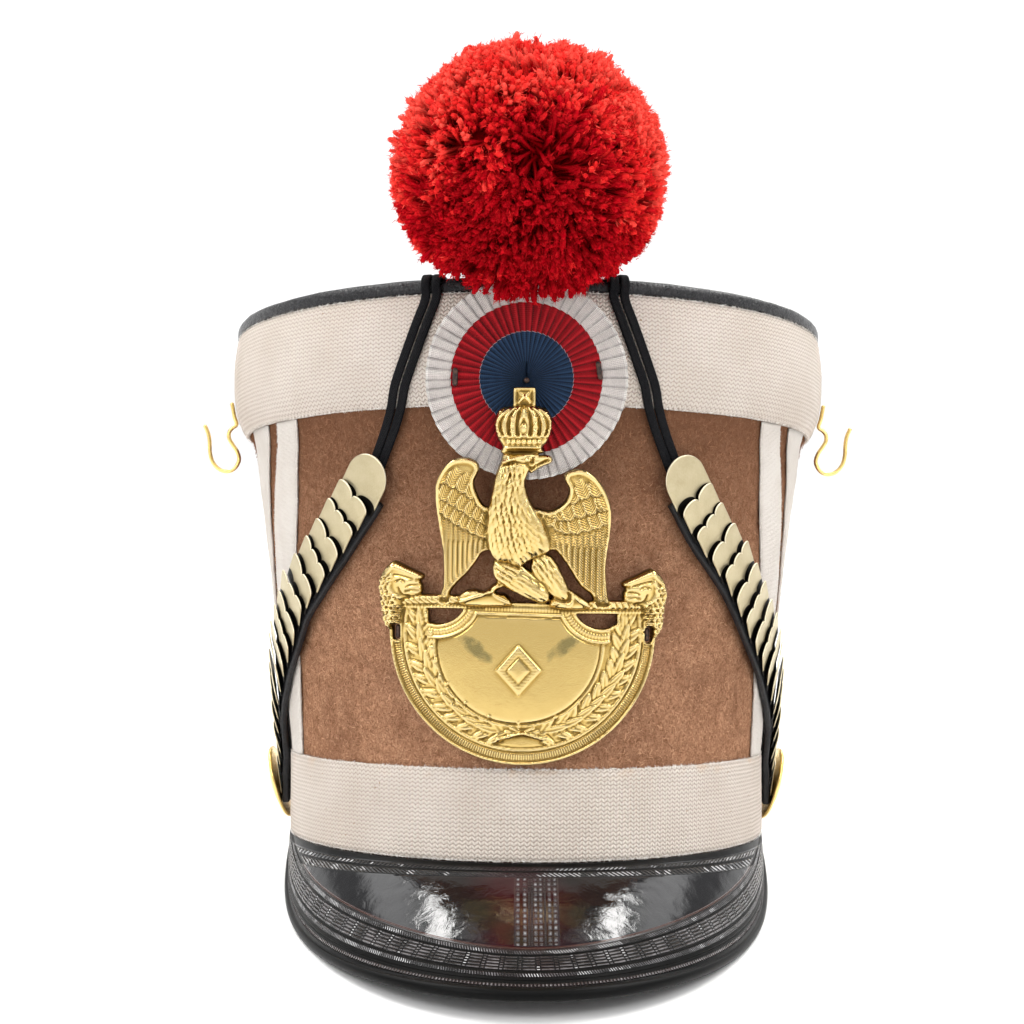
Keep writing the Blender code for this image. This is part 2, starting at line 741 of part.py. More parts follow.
def make_scales(side, line):
    """The end plate and the rows of scales, each lower one lying over the one above it."""
    last = line.distance_at_height(BOSS_HEIGHT) + LAST_SCALE_PAST_BOSS
    pitch = (last - TONGUE_LENGTH) / SCALE_ROWS
    point, outward, upward, across = line.frame(TONGUE_LENGTH / 2)
    origin = point + outward * SCALE_BASE - upward * (TONGUE_LENGTH / 2)
    outline = tongue_outline(SCALE_WIDTH_TOP, TONGUE_LENGTH)
    flat_part(f"scale_end_{side}", outline, SCALE_THICKNESS, frame_at(origin, across, upward), PALE_BRASS)
    for row in range(1, SCALE_ROWS + 1):
        share = (row - 1) / (SCALE_ROWS - 1)
        width = SCALE_WIDTH_TOP + share * (SCALE_WIDTH_LOW - SCALE_WIDTH_TOP)
        point, outward, upward, across = line.frame(TONGUE_LENGTH + row * pitch)
        origin = point + outward * SCALE_BASE
        sloped = (upward + outward * SCALE_SLOPE).normalized()
        lobes = 2 if row % 2 else 3
        outline = scale_outline(width, SCALE_OVERLAP * pitch, lobes)
        placing = frame_at(origin, across, sloped)
        flat_part(f"scale_{side}_{row:02d}", outline, SCALE_THICKNESS, placing, PALE_BRASS)


def make_strap(side, line):
    """The leather strap under the scales, a little forward of them."""
    end = line.distance_at_height(BOSS_HEIGHT) + STRAP_PAST_BOSS
    sections = []
    for i in range(STRAP_STATIONS):
        distance = STRAP_START + (end - STRAP_START) * i / (STRAP_STATIONS - 1)
        point, outward, _, across = line.frame(distance)
        width = SCALE_WIDTH_TOP + STRAP_WIDENING * i / (STRAP_STATIONS - 1)
        forward = -line.sign * STRAP_FORWARD
        section = []
        for x, out in STRAP_SECTION:
            section.append(point + across * (x * width + forward) + outward * out)
        sections.append(section)
    return loft(f"chin_strap_{side}", sections, LEATHER)


def make_boss(side, line):
    """A turned dome on the lower end of the strap, leaning with the scales under it."""
    shape = bmesh.new()
    verts = [shape.verts.new((x, 0.0, z)) for x, z in BOSS_PROFILE]
    for one, other in zip(verts, verts[1:]):
        shape.edges.new((one, other))
    mesh = bpy.data.meshes.new(f"boss_{side}")
    bmesh.ops.scale(shape, vec=(MM, MM, MM), verts=shape.verts)
    shape.to_mesh(mesh)
    shape.free()
    boss = adopt(bpy.data.objects.new(f"boss_{side}", mesh), BRASS)
    screw = boss.modifiers.new("turned", "SCREW")
    screw.steps = 24
    screw.render_steps = 24
    screw.use_merge_vertices = True
    screw.merge_threshold = 0.00001
    screw.use_smooth_shade = True
    point, outward, upward, across = line.frame(line.distance_at_height(BOSS_HEIGHT))
    leaning = upward * math.cos(BOSS_LEAN) + outward * math.sin(BOSS_LEAN)
    boss.matrix_local = frame_at(point + outward * BOSS_BASE, across, leaning)


def make_chin_scales():
    """Strap, scales and boss on both sides."""
    for side in ("left", "right"):
        line = StrapLine(side)
        make_strap(side, line)
        make_scales(side, line)
        make_boss(side, line)


def lace_height(off):
    """Height at which a lace lies flat on the crown, its middle at a distance outside the felt."""
    rows = sorted((row[1], row[0]) for row in CROWN_SECTIONS[:6])
    edges = (off - LACE_WIDTH / 2, off, off + LACE_WIDTH / 2)
    return max(between(rows, edge, 1) for edge in edges) + GAP


def lace_half(top, low, back):
    """One side of a lace, from its end at the scales to the crown's middle: points and normals."""
    up = Vector((0.0, 0.0, 1.0))
    slant = (top - low) / (LACE_TOP - LACE_LOW)
    half = []
    for z in LACE_ROWS:
        angle = math.radians(low + slant * (z - LACE_LOW))
        half.append((hull(z, angle, LACE_OFF), hull_normal(z, angle)))
    rim = math.radians(top)
    for off, rise, tilt in LACE_OVER_RIM:
        point = hull(RIM_TOP, rim, off)
        point.z = RIM_TOP + rise
        flat = Vector((math.sin(rim), -math.cos(rim), 0.0))
        tilt = math.radians(tilt)
        half.append((point, flat * math.cos(tilt) + up * math.sin(tilt)))
    for degrees in LACE_SWINGS:
        swing = math.radians(degrees)
        off = -3.0 - (back - 3.0) * math.sin(swing)
        point = hull(RIM_TOP, rim * math.cos(swing), off)
        point.z = lace_height(off)
        half.append((point, up))
    return half


def make_laces():
    """Flat laces from one strap's end over the rim, across the crown and down to the other's."""
    for name, (left_top, left_low, right_top, right_low, back) in LACES.items():
        middle = hull(RIM_TOP, 0.0, -back)
        middle.z = lace_height(-back)
        left = lace_half(left_top, left_low, back)
        right = lace_half(right_top, right_low, back)
        route = left + [(middle, Vector((0.0, 0.0, 1.0)))] + right[::-1]
        ribbon(name, [point for point, _ in route], [normal for _, normal in route])


def ribbon(name, points, normals):
    """A flat lace through the points, its flat side turned to the normals."""
    sections = []
    for i, (point, normal) in enumerate(zip(points, normals)):
        along = points[min(i + 1, len(points) - 1)] - points[max(i - 1, 0)]
        across = along.cross(normal).normalized() * (LACE_WIDTH / 2)
        out = across.cross(along).normalized()
        if out.dot(normal) < 0:
            out = -out
        out *= LACE_THICKNESS
        sections.append([point - across, point + across, point + across + out, point - across + out])
    loft(name, sections, LACE)


def make_hooks():
    """A bent wire hook on each side, its shank against the top band."""
    for side, sign in (("left", -1), ("right", 1)):
        name = f"hook_{side}"
        wire = bpy.data.curves.new(name, "CURVE")
        wire.dimensions = "3D"
        wire.bevel_depth = HOOK_RADIUS * MM
        wire.bevel_resolution = 2
        wire.use_fill_caps = True
        spline = wire.splines.new("POLY")
        spline.points.add(len(HOOK_WIRE) - 1)
        for point, (x, z) in zip(spline.points, HOOK_WIRE):
            point.co = (sign * x * MM, HOOK_Y * MM, z * MM, 1.0)
        adopt(bpy.data.objects.new(name, wire), BRASS)


# ------------------------------------------------------------------------------------------ the plate


def plate_place(x, z, out):
    """A point of the plate: across and up it, and out of its back."""
    def sheet(px, pz):
        half_width, half_depth = PLATE_BEND
        bend = half_depth * (1.0 - math.sqrt(1.0 - (px / half_width) ** 2))
        share = min(1.0, max(0.0, (pz - PLATE_FLAT_FROM) / PLATE_FLAT_OVER))
        bend *= 1.0 - PLATE_FLATTENED * share * share * (3.0 - 2.0 * share)
        return Vector((px, bend - between(PLATE_LINE, pz, 1), pz))

    x += PLATE_X
    step = 1.5
    around = sheet(x + step, z) - sheet(x - step, z)
    upward = sheet(x, z + step) - sheet(x, z - step)
    return sheet(x, z) + around.cross(upward).normalized() * out


def shield_arc():
    """The shield's round lower edge, from its left end to its right end."""
    steps = 24
    x0, z0 = SHIELD_CENTRE
    arc = []
    for step in range(steps + 1):
        angle = math.radians(183.0 + 174.0 * step / steps)
        arc.append((x0 + SHIELD_RADIUS * math.cos(angle), z0 + SHIELD_RADIUS * math.sin(angle)))
    return arc


def plate_outline():
    """The whole outline, from the top of the crown down its left side and round."""
    right_lion = [(-x, z - LION_DROP) for x, z in reversed(LION_HEAD)]
    return [*CROWN_AND_NECK, *LEFT_WING, *LION_HEAD, *shield_arc(), *right_lion, *RIGHT_WING,
            *BEAK_AND_CROWN]


def inside(loop, x, z):
    """Whether a point lies inside a closed outline."""
    within = False
    for (x1, z1), (x2, z2) in zip(loop, loop[1:] + loop[:1]):
        if (z1 > z) != (z2 > z) and x < x1 + (z - z1) / (z2 - z1) * (x2 - x1):
            within = not within
    return within


def edge_distance(loops, x, z):
    """Distance from a point to the nearest outline."""
    nearest = math.inf
    for loop in loops:
        for one, other in zip(loop, loop[1:] + loop[:1]):
            foot, share = geometry.intersect_point_line((x, z), one, other)
            share = min(1.0, max(0.0, share))
            foot = Vector(one).lerp(Vector(other), share)
            nearest = min(nearest, (foot - Vector((x, z))).length)
    return nearest


def plate_lift(x, z):
    """Height of the plate's face above its sheet: rounded masses, and a raised ring on the shield."""
    lift = 0.0
    for centre_x, centre_z, half_width, half_height, height in PLATE_BUMPS:
        far = ((x - centre_x) / half_width) ** 2 + ((z - centre_z) / half_height) ** 2
        if far < 1.0:
            lift = max(lift, height * (1.0 - far) ** 0.7)
    radius = math.hypot(x - SHIELD_CENTRE[0], z - SHIELD_CENTRE[1])
    if z < SHIELD_CENTRE[1] and WREATH_RING[0] < radius < WREATH_RING[1]:
        lift = max(lift, WREATH_LIFT)
    return lift


def make_plate():
    """A stamped sheet: its outline and gaps, and points between them, lifted into relief."""
    outline = plate_outline()
    loops = [outline] + [list(gap) for gap in PLATE_GAPS]
    places = []
    edges = []
    for loop in loops:
        first = len(places)
        places += loop
        edges += [(first + i, first + (i + 1) % len(loop)) for i in range(len(loop))]
    row_height = PLATE_SPACING * math.sqrt(3) / 2
    low, high = min(z for _, z in outline), max(z for _, z in outline)
    left, right = min(x for x, _ in outline), max(x for x, _ in outline)
    for row in range(int((high - low) / row_height) + 1):
        for column in range(int((right - left) / PLATE_SPACING) + 1):
            x = left + PLATE_SPACING * (column + 0.5 * (row % 2))
            z = low + row_height * row
            kept = inside(outline, x, z) and not any(inside(gap, x, z) for gap in loops[1:])
            if kept and edge_distance(loops, x, z) > 0.4 * PLATE_SPACING:
                places.append((x, z))
    filled = geometry.delaunay_2d_cdt([Vector(place) for place in places], edges, [], 0, 0.0001)
    flat_points, _, triangles = filled[:3]

    shape = bmesh.new()
    border = set()
    fronts = []
    backs = []
    for point in flat_points:
        on_edge = edge_distance(loops, point.x, point.y) < 0.05
        lift = 0.0 if on_edge else plate_lift(point.x, point.y)
        fronts.append(shape.verts.new(plate_place(point.x, point.y, PLATE_SHEET + lift)))
        backs.append(shape.verts.new(plate_place(point.x, point.y, 0.0)))
    for triangle in triangles:
        middle_x = sum(flat_points[i].x for i in triangle) / 3
        middle_z = sum(flat_points[i].y for i in triangle) / 3
        if not inside(outline, middle_x, middle_z):
            continue
        if any(inside(gap, middle_x, middle_z) for gap in loops[1:]):
            continue
        shape.faces.new([fronts[i] for i in triangle])
        shape.faces.new([backs[i] for i in reversed(triangle)])
        for i, j in zip(triangle, triangle[1:] + triangle[:1]):
            if (j, i) in border:
                border.remove((j, i))
            else:
                border.add((i, j))
    for i, j in sorted(border):
        shape.faces.new((fronts[j], fronts[i], backs[i], backs[j]))
    loose = [vert for vert in shape.verts if not vert.link_faces]
    bmesh.ops.delete(shape, geom=loose, context="VERTS")
    mesh_part("eagle_plate", shape, BRASS)


# ------------------------------------------------------------------------------------------- the hat


def stand_on_origin():
    """Leans the hat back and moves it so that the origin is at the bottom centre of its box."""
    HAT.rotation_euler = (-LEAN, 0.0, 0.0)
    bpy.context.view_layer.update()
    depsgraph = bpy.context.evaluated_depsgraph_get()
    corners = []
    for part in PARTS.objects:
        if part.type in {"MESH", "CURVE"}:
            solid = part.evaluated_get(depsgraph)
            shape = solid.to_mesh()
            corners += [solid.matrix_world @ vert.co for vert in shape.vertices]
            solid.to_mesh_clear()
    low = [min(corner[axis] for corner in corners) for axis in range(3)]
    high = [max(corner[axis] for corner in corners) for axis in range(3)]
    HAT.location = (-(low[0] + high[0]) / 2, -(low[1] + high[1]) / 2, -low[2])
    bpy.context.view_layer.update()


make_body()
make_crown()
make_chevrons()
make_peak()
make_cockade()
make_pompom()
make_chin_scales()
make_laces()
make_hooks()
make_plate()
stand_on_origin()
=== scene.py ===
"""Dresses the shako hat: each surface gets its finish, and cloth, wool and stamped brass their full shape.

Pieces are made in the hat's own frame, in millimetres: Z runs up the hat's axis from its lower edge, and
the front faces -Y. An angle round the hat is counted from the front, positive towards +X.
The hat's frame leans back and stands on the floor just as the solids do.
"""

import functools
import math

import bpy
import numpy as np
from mathutils import Matrix, Vector


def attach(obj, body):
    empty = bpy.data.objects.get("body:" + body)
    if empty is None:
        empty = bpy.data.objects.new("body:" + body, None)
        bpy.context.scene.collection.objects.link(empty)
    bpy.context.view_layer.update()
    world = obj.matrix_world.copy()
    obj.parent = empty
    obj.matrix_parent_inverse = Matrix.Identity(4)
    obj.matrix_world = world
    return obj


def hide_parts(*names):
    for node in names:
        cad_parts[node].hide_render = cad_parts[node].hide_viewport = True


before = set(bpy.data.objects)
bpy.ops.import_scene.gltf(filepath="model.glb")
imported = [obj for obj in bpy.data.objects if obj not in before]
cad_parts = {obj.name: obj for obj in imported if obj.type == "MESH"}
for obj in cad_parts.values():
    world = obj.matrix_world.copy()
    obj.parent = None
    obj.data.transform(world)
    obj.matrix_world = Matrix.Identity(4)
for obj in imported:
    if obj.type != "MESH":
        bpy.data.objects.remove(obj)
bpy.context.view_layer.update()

MM = 0.001
TAU = math.tau
LEAN = math.radians(9.05005)
HAT = Matrix.Translation((0.0, 0.005621, 0.016582)) @ Matrix.Rotation(-LEAN, 4, "X")
TO_WORLD = np.array(HAT)
TO_HAT = HAT.inverted()
GAP = 0.3

# Felt body, outer side: height, half width, depth divided by width.
HULL = np.array((
    (0.0, 88.8, 1.200), (30.0, 89.0, 1.200), (60.0, 92.4, 1.170), (85.0, 96.4, 1.150), (105.0, 98.7, 1.130),
    (122.0, 101.0, 1.120), (142.0, 104.8, 1.100), (149.0, 107.2, 1.090), (156.0, 111.4, 1.085),
    (164.0, 112.5, 1.080), (175.0, 112.7, 1.075), (183.0, 111.8, 1.070), (186.0, 111.1, 1.070),
))
FELT_WALL = 2.4
RIM_TOP = 186.0


# ------------------------------------------------------------------------------------------- shapes


def unit(vectors):
    """Vectors brought to length 1."""
    return vectors / np.maximum(np.linalg.norm(vectors, axis=-1, keepdims=True), 1e-9)


def stack(*parts):
    """Arrays or numbers side by side as the last axis."""
    return np.stack(np.broadcast_arrays(*[np.asarray(part, float) for part in parts]), axis=-1)


def smoothed(values, reach, width):
    """A row of values blurred with a bell curve, its ends held level."""
    kernel = np.exp(-0.5 * (np.arange(-reach, reach + 1) / width) ** 2)
    return np.convolve(np.pad(values, reach, mode="edge"), kernel / kernel.sum(), mode="valid")


# The felt's table on a fine scale of heights, its corners rounded.
HEIGHTS = np.arange(-8.0, 198.0, 0.5)
HALF_WIDTHS, RATIOS = (smoothed(np.interp(HEIGHTS, HULL[:, 0], HULL[:, k]), 10, 3.2) for k in (1, 2))


def hull(z, angle, off=0.0):
    """Points of the felt's outer side at heights and angles, or that far outside it."""
    half_width = np.interp(z, HEIGHTS, HALF_WIDTHS)
    half_depth = half_width * np.interp(z, HEIGHTS, RATIOS)
    return stack((half_width + off) * np.sin(angle), -(half_depth + off) * np.cos(angle), z)


def hull_normal(z, angle):
    """Directions straight out of the felt at heights and angles."""
    around = hull(z, angle + 0.02) - hull(z, angle - 0.02)
    upward = hull(z + 2.0, angle) - hull(z - 2.0, angle)
    return unit(np.cross(around, upward))


def fraction(values):
    """What is left of values above the whole number below them."""
    return values - np.floor(values)


def running_length(path):
    """Distance along a path at each of its points."""
    return np.concatenate([[0.0], np.cumsum(np.linalg.norm(np.diff(path, axis=0), axis=1))])


def circle(count):
    """Equal angles all round."""
    return TAU * np.arange(count) / count


def waves(points, size, seed, octaves=3):
    """Smooth random values near -1 to 1 over points, whose largest features are about that size."""
    dice = np.random.default_rng(seed)
    total = np.zeros(points.shape[:-1])
    for octave in range(octaves):
        for _ in range(5):
            direction = unit(dice.normal(size=points.shape[-1])) * TAU / size * 2 ** octave
            total += np.sin(points @ direction * dice.uniform(0.7, 1.3) + dice.uniform(0, TAU)) / 2 ** octave
    return total / 5.0


def grid_faces(rows, cols, close_rows=False, close_cols=False):
    """Quads over a grid of points and, for each corner, its row and column before wrapping."""
    r, c = np.meshgrid(np.arange(rows if close_rows else rows - 1),
                       np.arange(cols if close_cols else cols - 1), indexing="ij")
    corner_rows = np.stack([r, r, r + 1, r + 1], -1).reshape(-1, 4)
    corner_cols = np.stack([c, c + 1, c + 1, c], -1).reshape(-1, 4)
    quads = corner_rows % rows * cols + corner_cols % cols
    return quads, corner_rows, corner_cols


def piece(name, points, faces, surface, uv=None, marks=None, covers=(), slot=None, smooth=True):
    """A mesh of the hat: points in mm, arrays of faces, uv for each corner and marks for each point."""
    points = np.asarray(points, np.float64).reshape(-1, 3)
    faces = [np.asarray(block).reshape(len(block), -1) for block in faces if len(block)]
    volume = 0.0
    for block in faces:
        for k in range(1, block.shape[1] - 1):
            a, b, c = points[block[:, 0]], points[block[:, k]], points[block[:, k + 1]]
            volume += np.einsum("ij,ij->", a, np.cross(b, c))
    turned = volume < 0
    if turned:
        faces = [block[:, ::-1] for block in faces]
    mesh = bpy.data.meshes.new(name)
    mesh.vertices.add(len(points))
    placed = points @ TO_WORLD[:3, :3].T * MM + TO_WORLD[:3, 3]
    mesh.vertices.foreach_set("co", placed.astype(np.float32).ravel())
    corners = np.concatenate([block.ravel() for block in faces]).astype(np.int32)
    sizes = np.concatenate([np.full(len(block), block.shape[1]) for block in faces])
    mesh.loops.add(len(corners))
    mesh.loops.foreach_set("vertex_index", corners)
    mesh.polygons.add(len(sizes))
    mesh.polygons.foreach_set("loop_start", (np.cumsum(sizes) - sizes).astype(np.int32))
    mesh.update(calc_edges=True)
    if smooth:
        mesh.polygons.foreach_set("use_smooth", np.ones(len(sizes), bool))
    if uv is not None:
        blocks = [np.asarray(block, float)[:, ::-1 if turned else 1] for block in uv]
        layer = mesh.uv_layers.new(name="cloth")
        layer.uv.foreach_set("vector", np.concatenate([b.ravel() for b in blocks]).astype(np.float32))
    for mark, values in (marks or {}).items():
        store = mesh.attributes.new(mark, "FLOAT", "POINT")
        store.data.foreach_set("value", np.asarray(values, np.float32).ravel())
    mesh.materials.append(surface)
    made = bpy.data.objects.new(name, mesh)
    bpy.context.scene.collection.objects.link(made)
    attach(made, "root")
    if covers:
        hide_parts(*covers)
    return made


def grid_piece(name, points, surface, close_rows=False, close_cols=False, uv=None, caps=False, **rest):
    """A piece from a grid of points; uv has a row and a column more where the grid closes."""
    rows, cols = points.shape[:2]
    quads, corner_rows, corner_cols = grid_faces(rows, cols, close_rows, close_cols)
    faces = [quads]
    maps = None if uv is None else [uv[corner_rows, corner_cols]]
    if caps:
        for row, way in ((0, -1), (rows - 1, 1)):
            faces.append((row * cols + np.arange(cols))[None, ::way])
            if maps:
                maps.append(uv[row, :cols][None, ::way])
    return piece(name, points, faces, surface, uv=maps, **rest)


def rod_piece(name, points, surface, **rest):
    """A piece from rings of points, closed round and at both ends."""
    return grid_piece(name, points, surface, close_cols=True, caps=True, **rest)


def swept(path, normals, sections):
    """Sections, given as across and outward distances, carried along a path."""
    along = unit(np.gradient(path, axis=0))
    across = unit(np.cross(along, normals))
    out = unit(np.cross(across, along))
    return (path[:, None] + across[:, None] * sections[..., 0, None] + out[:, None] * sections[..., 1, None])


def smooth_path(points, count, closed=False):
    """Equally spaced points on a smooth curve through the given ones."""
    points = np.asarray(points, float)
    if closed:
        points = np.concatenate([points[-1:], points, points[:2]])
    else:
        points = np.concatenate([2 * points[:1] - points[1:2], points, 2 * points[-1:] - points[-2:-1]])
    t = np.linspace(0.0, 1.0, 12, endpoint=False)[:, None]
    dense = []
    for a, b, c, d in zip(points, points[1:], points[2:], points[3:]):
        dense.append(0.5 * (2 * b + (c - a) * t + (2 * a - 5 * b + 4 * c - d) * t ** 2
                            + (3 * b - a - 3 * c + d) * t ** 3))
    dense = np.concatenate(dense + [points[-2:-1]])
    lengths = running_length(dense)
    wanted = np.linspace(0.0, lengths[-1], count + closed)[:count]
    return np.stack([np.interp(wanted, lengths, dense[:, k]) for k in range(dense.shape[1])], -1)


def rounded_section(width, low, high, corner, steps=3, columns=5):
    """A flat strip's section as across and outward distances, its long edges rounded."""
    flat = width / 2 - corner
    section = []
    for side, level, start in ((1, low + corner, -90.0), (1, high - corner, 0.0),
                               (-1, high - corner, 90.0), (-1, low + corner, 180.0)):
        for angle in np.radians(start + 90.0 * np.arange(steps + 1) / steps):
            section.append((side * flat + corner * math.cos(angle), level + corner * math.sin(angle)))
        if start in (0.0, 180.0):
            spots = side * flat * (1 - 2 * np.arange(1, columns + 1) / (columns + 1))
            section += [(spot, high if side > 0 else low) for spot in spots]
    return np.array(section)


def fibres(name, roots, sides, leans, length, width, bend, surface, seed, shade=None, **rest):
    """Thin curved ribbons that start at roots and run along sides, lifting towards leans."""
    dice = np.random.default_rng(seed)
    count = len(roots)
    length = dice.uniform(*length, count)[:, None]
    width = (dice.uniform(*width, count) / 2)[:, None]
    flat = unit(np.cross(sides, leans))
    curl = flat * dice.normal(0.0, bend, count)[:, None]
    rows = []
    for step, lift, wide in ((0.0, 0.0, 0.45), (0.5, 1.0, 1.0), (1.0, 0.35, 0.45)):
        middle = roots + sides * length * (step - 0.5) + leans * lift + curl * length * (step - 0.5) ** 2
        rows += [middle - flat * width * wide, middle + flat * width * wide]
    base = np.arange(count)[:, None] * 6
    faces = np.concatenate([base + (0, 1, 3, 2), base + (2, 3, 5, 4)])
    shades = dice.random(count) if shade is None else shade
    marks = {"shade": np.repeat(shades, 6)}
    return piece(name, settled(np.stack(rows, 1)), [faces], surface, marks=marks, **rest)


# ---------------------------------------------------------------------------------------- materials


class Paint:
    """A material under construction: every method returns an output to feed into the next."""

    def __init__(self, name, color, roughness, **sockets):
        self.material = bpy.data.materials.new(name)
        self.material.use_nodes = True
        self.tree = self.material.node_tree
        self.shader = self.tree.nodes["Principled BSDF"]
        self.put(self.shader.inputs["Base Color"], color)
        self.put(self.shader.inputs["Roughness"], roughness)
        for socket, value in sockets.items():
            self.put(self.shader.inputs[socket.replace("_", " ")], value)

    def set(self, socket, value):
        self.put(self.shader.inputs[socket], value)

    def put(self, socket, value):
        if isinstance(value, bpy.types.NodeSocket):
            self.tree.links.new(value, socket)
        elif socket.type == "RGBA":
            socket.default_value = (*value[:3], 1.0)
        else:
            socket.default_value = value

    def node(self, kind, out=0, props=(), inputs=(), **sockets):
        """Makes a node; props are pairs of a property and its value, inputs go in by number."""
        made = self.tree.nodes.new("ShaderNode" + kind)
        for prop, value in props:
            setattr(made, prop, value)
        for number, value in enumerate(inputs):
            self.put(made.inputs[number], value)
        for socket, value in sockets.items():
            self.put(made.inputs[socket.replace("_", " ")], value)
        return made.outputs[out]

    def calc(self, operation, *values):
        return self.node("Math", props=(("operation", operation),), inputs=values)

    def total(self, *values):
        return functools.reduce(lambda one, other: self.calc("ADD", one, other), values)

    def times(self, *values):
        return functools.reduce(lambda one, other: self.calc("MULTIPLY", one, other), values)

    def less(self, value, other):
        return self.calc("SUBTRACT", value, other)

    def wave(self, value, pitch):
        return self.calc("SINE", self.times(value, TAU / pitch))

    def beads(self, value, pitch):
        """Round bumps from 0 to 1, one for each pitch."""
        return self.calc("ABSOLUTE", self.calc("SINE", self.times(value, math.pi / pitch)))

    def pulse(self, value, low, high, soft=0.3):
        """1 between two values, falling to 0 at them."""
        return self.times(self.spread(value, low, low + soft), self.spread(value, high, high - soft))

    def vector(self, operation, *values):
        return self.node("VectorMath", props=(("operation", operation),), inputs=values)

    def place(self, scale=None):
        """The point in the hat's frame in millimetres, stretched by a scale."""
        spot = self.node("Mapping", Vector=self.node("TexCoord", "Object"), Scale=(1.0 / MM,) * 3,
                         Location=tuple(TO_HAT.translation / MM), Rotation=tuple(TO_HAT.to_euler()))
        return self.vector("MULTIPLY", spot, scale) if scale else spot

    def axis(self, number, vector=None):
        """One of a vector's three numbers; the hat's frame gives the vector where none is stated."""
        return self.node("SeparateXYZ", number, inputs=(vector or self.place(),))

    def cloth(self):
        """The two directions of the piece's own map, in millimetres."""
        spot = self.node("UVMap", props=(("uv_map", "cloth"),))
        return self.axis(0, spot), self.axis(1, spot)

    def mark(self, name):
        return self.node("Attribute", "Fac", props=(("attribute_name", name),))

    def noise(self, size, detail=3.0, rough=0.55, at=None, distort=0.0):
        """Random values from 0 to 1 whose features are about that many millimetres."""
        return self.node("TexNoise", Vector=at or self.place(), Scale=1.0 / size, Detail=detail,
                         Roughness=rough, Distortion=distort)

    def cells(self, size, feature="F1"):
        return self.node("TexVoronoi", props=(("feature", feature),), Vector=self.place(), Scale=1.0 / size)

    def ramp(self, value, *stops, hard=False):
        made = self.tree.nodes.new("ShaderNodeValToRGB")
        self.put(made.inputs[0], value)
        band = made.color_ramp
        band.interpolation = "CONSTANT" if hard else "LINEAR"
        while len(band.elements) < len(stops):
            band.elements.new(0.5)
        for element, (spot, color) in zip(band.elements, stops):
            element.position = spot
            element.color = (*color, 1.0) if isinstance(color, tuple) else (color, color, color, 1.0)
        return made.outputs[0]

    def mix(self, share, one, other, kind="MIX"):
        """A colour between two, or one blended with the other in another way."""
        made = self.node("Mix", 2, props=(("data_type", "RGBA"), ("blend_type", kind)), inputs=(share,)).node
        self.put(made.inputs[6], one)
        self.put(made.inputs[7], other)
        return made.outputs[2]

    def tint(self, tone, value, low, high, color, most=1.0):
        """Brings a colour in where a value goes from low to high, up to a share."""
        return self.mix(self.spread(value, low, high, 0.0, most), tone, color)

    def spread(self, value, low, high, new_low=0.0, new_high=1.0):
        """Carries values from one range to another and holds them there."""
        return self.node("MapRange", inputs=(value, low, high, new_low, new_high))

    def bump(self, *layers):
        """Relief from pairs of a height and its depth in millimetres; gives the finished material."""
        normal = None
        for height, depth in layers:
            under = {"Normal": normal} if normal else {}
            normal = self.node("Bump", Height=height, Distance=depth * MM, **under)
        self.put(self.shader.inputs["Normal"], normal)
        return self.material


def felt_surface():
    """Brown wool felt, mottled, with matted hairs lying every way."""
    paint = Paint("brown_felt", (0.3, 0.16, 0.1), 1.0, Specular_IOR_Level=0.0)
    warp = paint.noise(6.0, 4.0, 0.65, distort=1.4)
    fine = paint.noise(1.5, 4.0, 0.7, distort=1.8)
    hair = paint.noise(0.5, 3.0, 0.75, at=paint.place((1.0, 1.0, 0.5)), distort=2.6)
    patch = paint.noise(22.0, 3.0, 0.6, distort=0.8)
    tone = paint.ramp(warp, (0.30, (0.31, 0.148, 0.082)), (0.5, (0.47, 0.238, 0.138)),
                      (0.70, (0.58, 0.318, 0.190)))
    tone = paint.tint(tone, fine, 0.40, 0.66, (0.165, 0.068, 0.034))
    tone = paint.tint(tone, hair, 0.48, 0.72, (0.74, 0.43, 0.255), 0.8)
    tone = paint.tint(tone, patch, 0.50, 0.68, (0.20, 0.092, 0.052), 0.5)
    # Painted shade: darker towards the top band, below the cockade and pompom that hang over it.
    paint.set("Base Color", paint.tint(tone, paint.axis(2), 84.0, 144.0, (0.15, 0.066, 0.036), 0.78))
    return paint.bump((warp, 0.7), (fine, 0.8), (hair, 0.4))


def fuzz_surface(name, dark, light):
    """Loose fibres, each with its own shade between two colours."""
    paint = Paint(name, light, 1.0, Specular_IOR_Level=0.05)
    paint.set("Base Color", paint.ramp(paint.mark("shade"), (0.0, dark), (1.0, light)))
    return paint.material


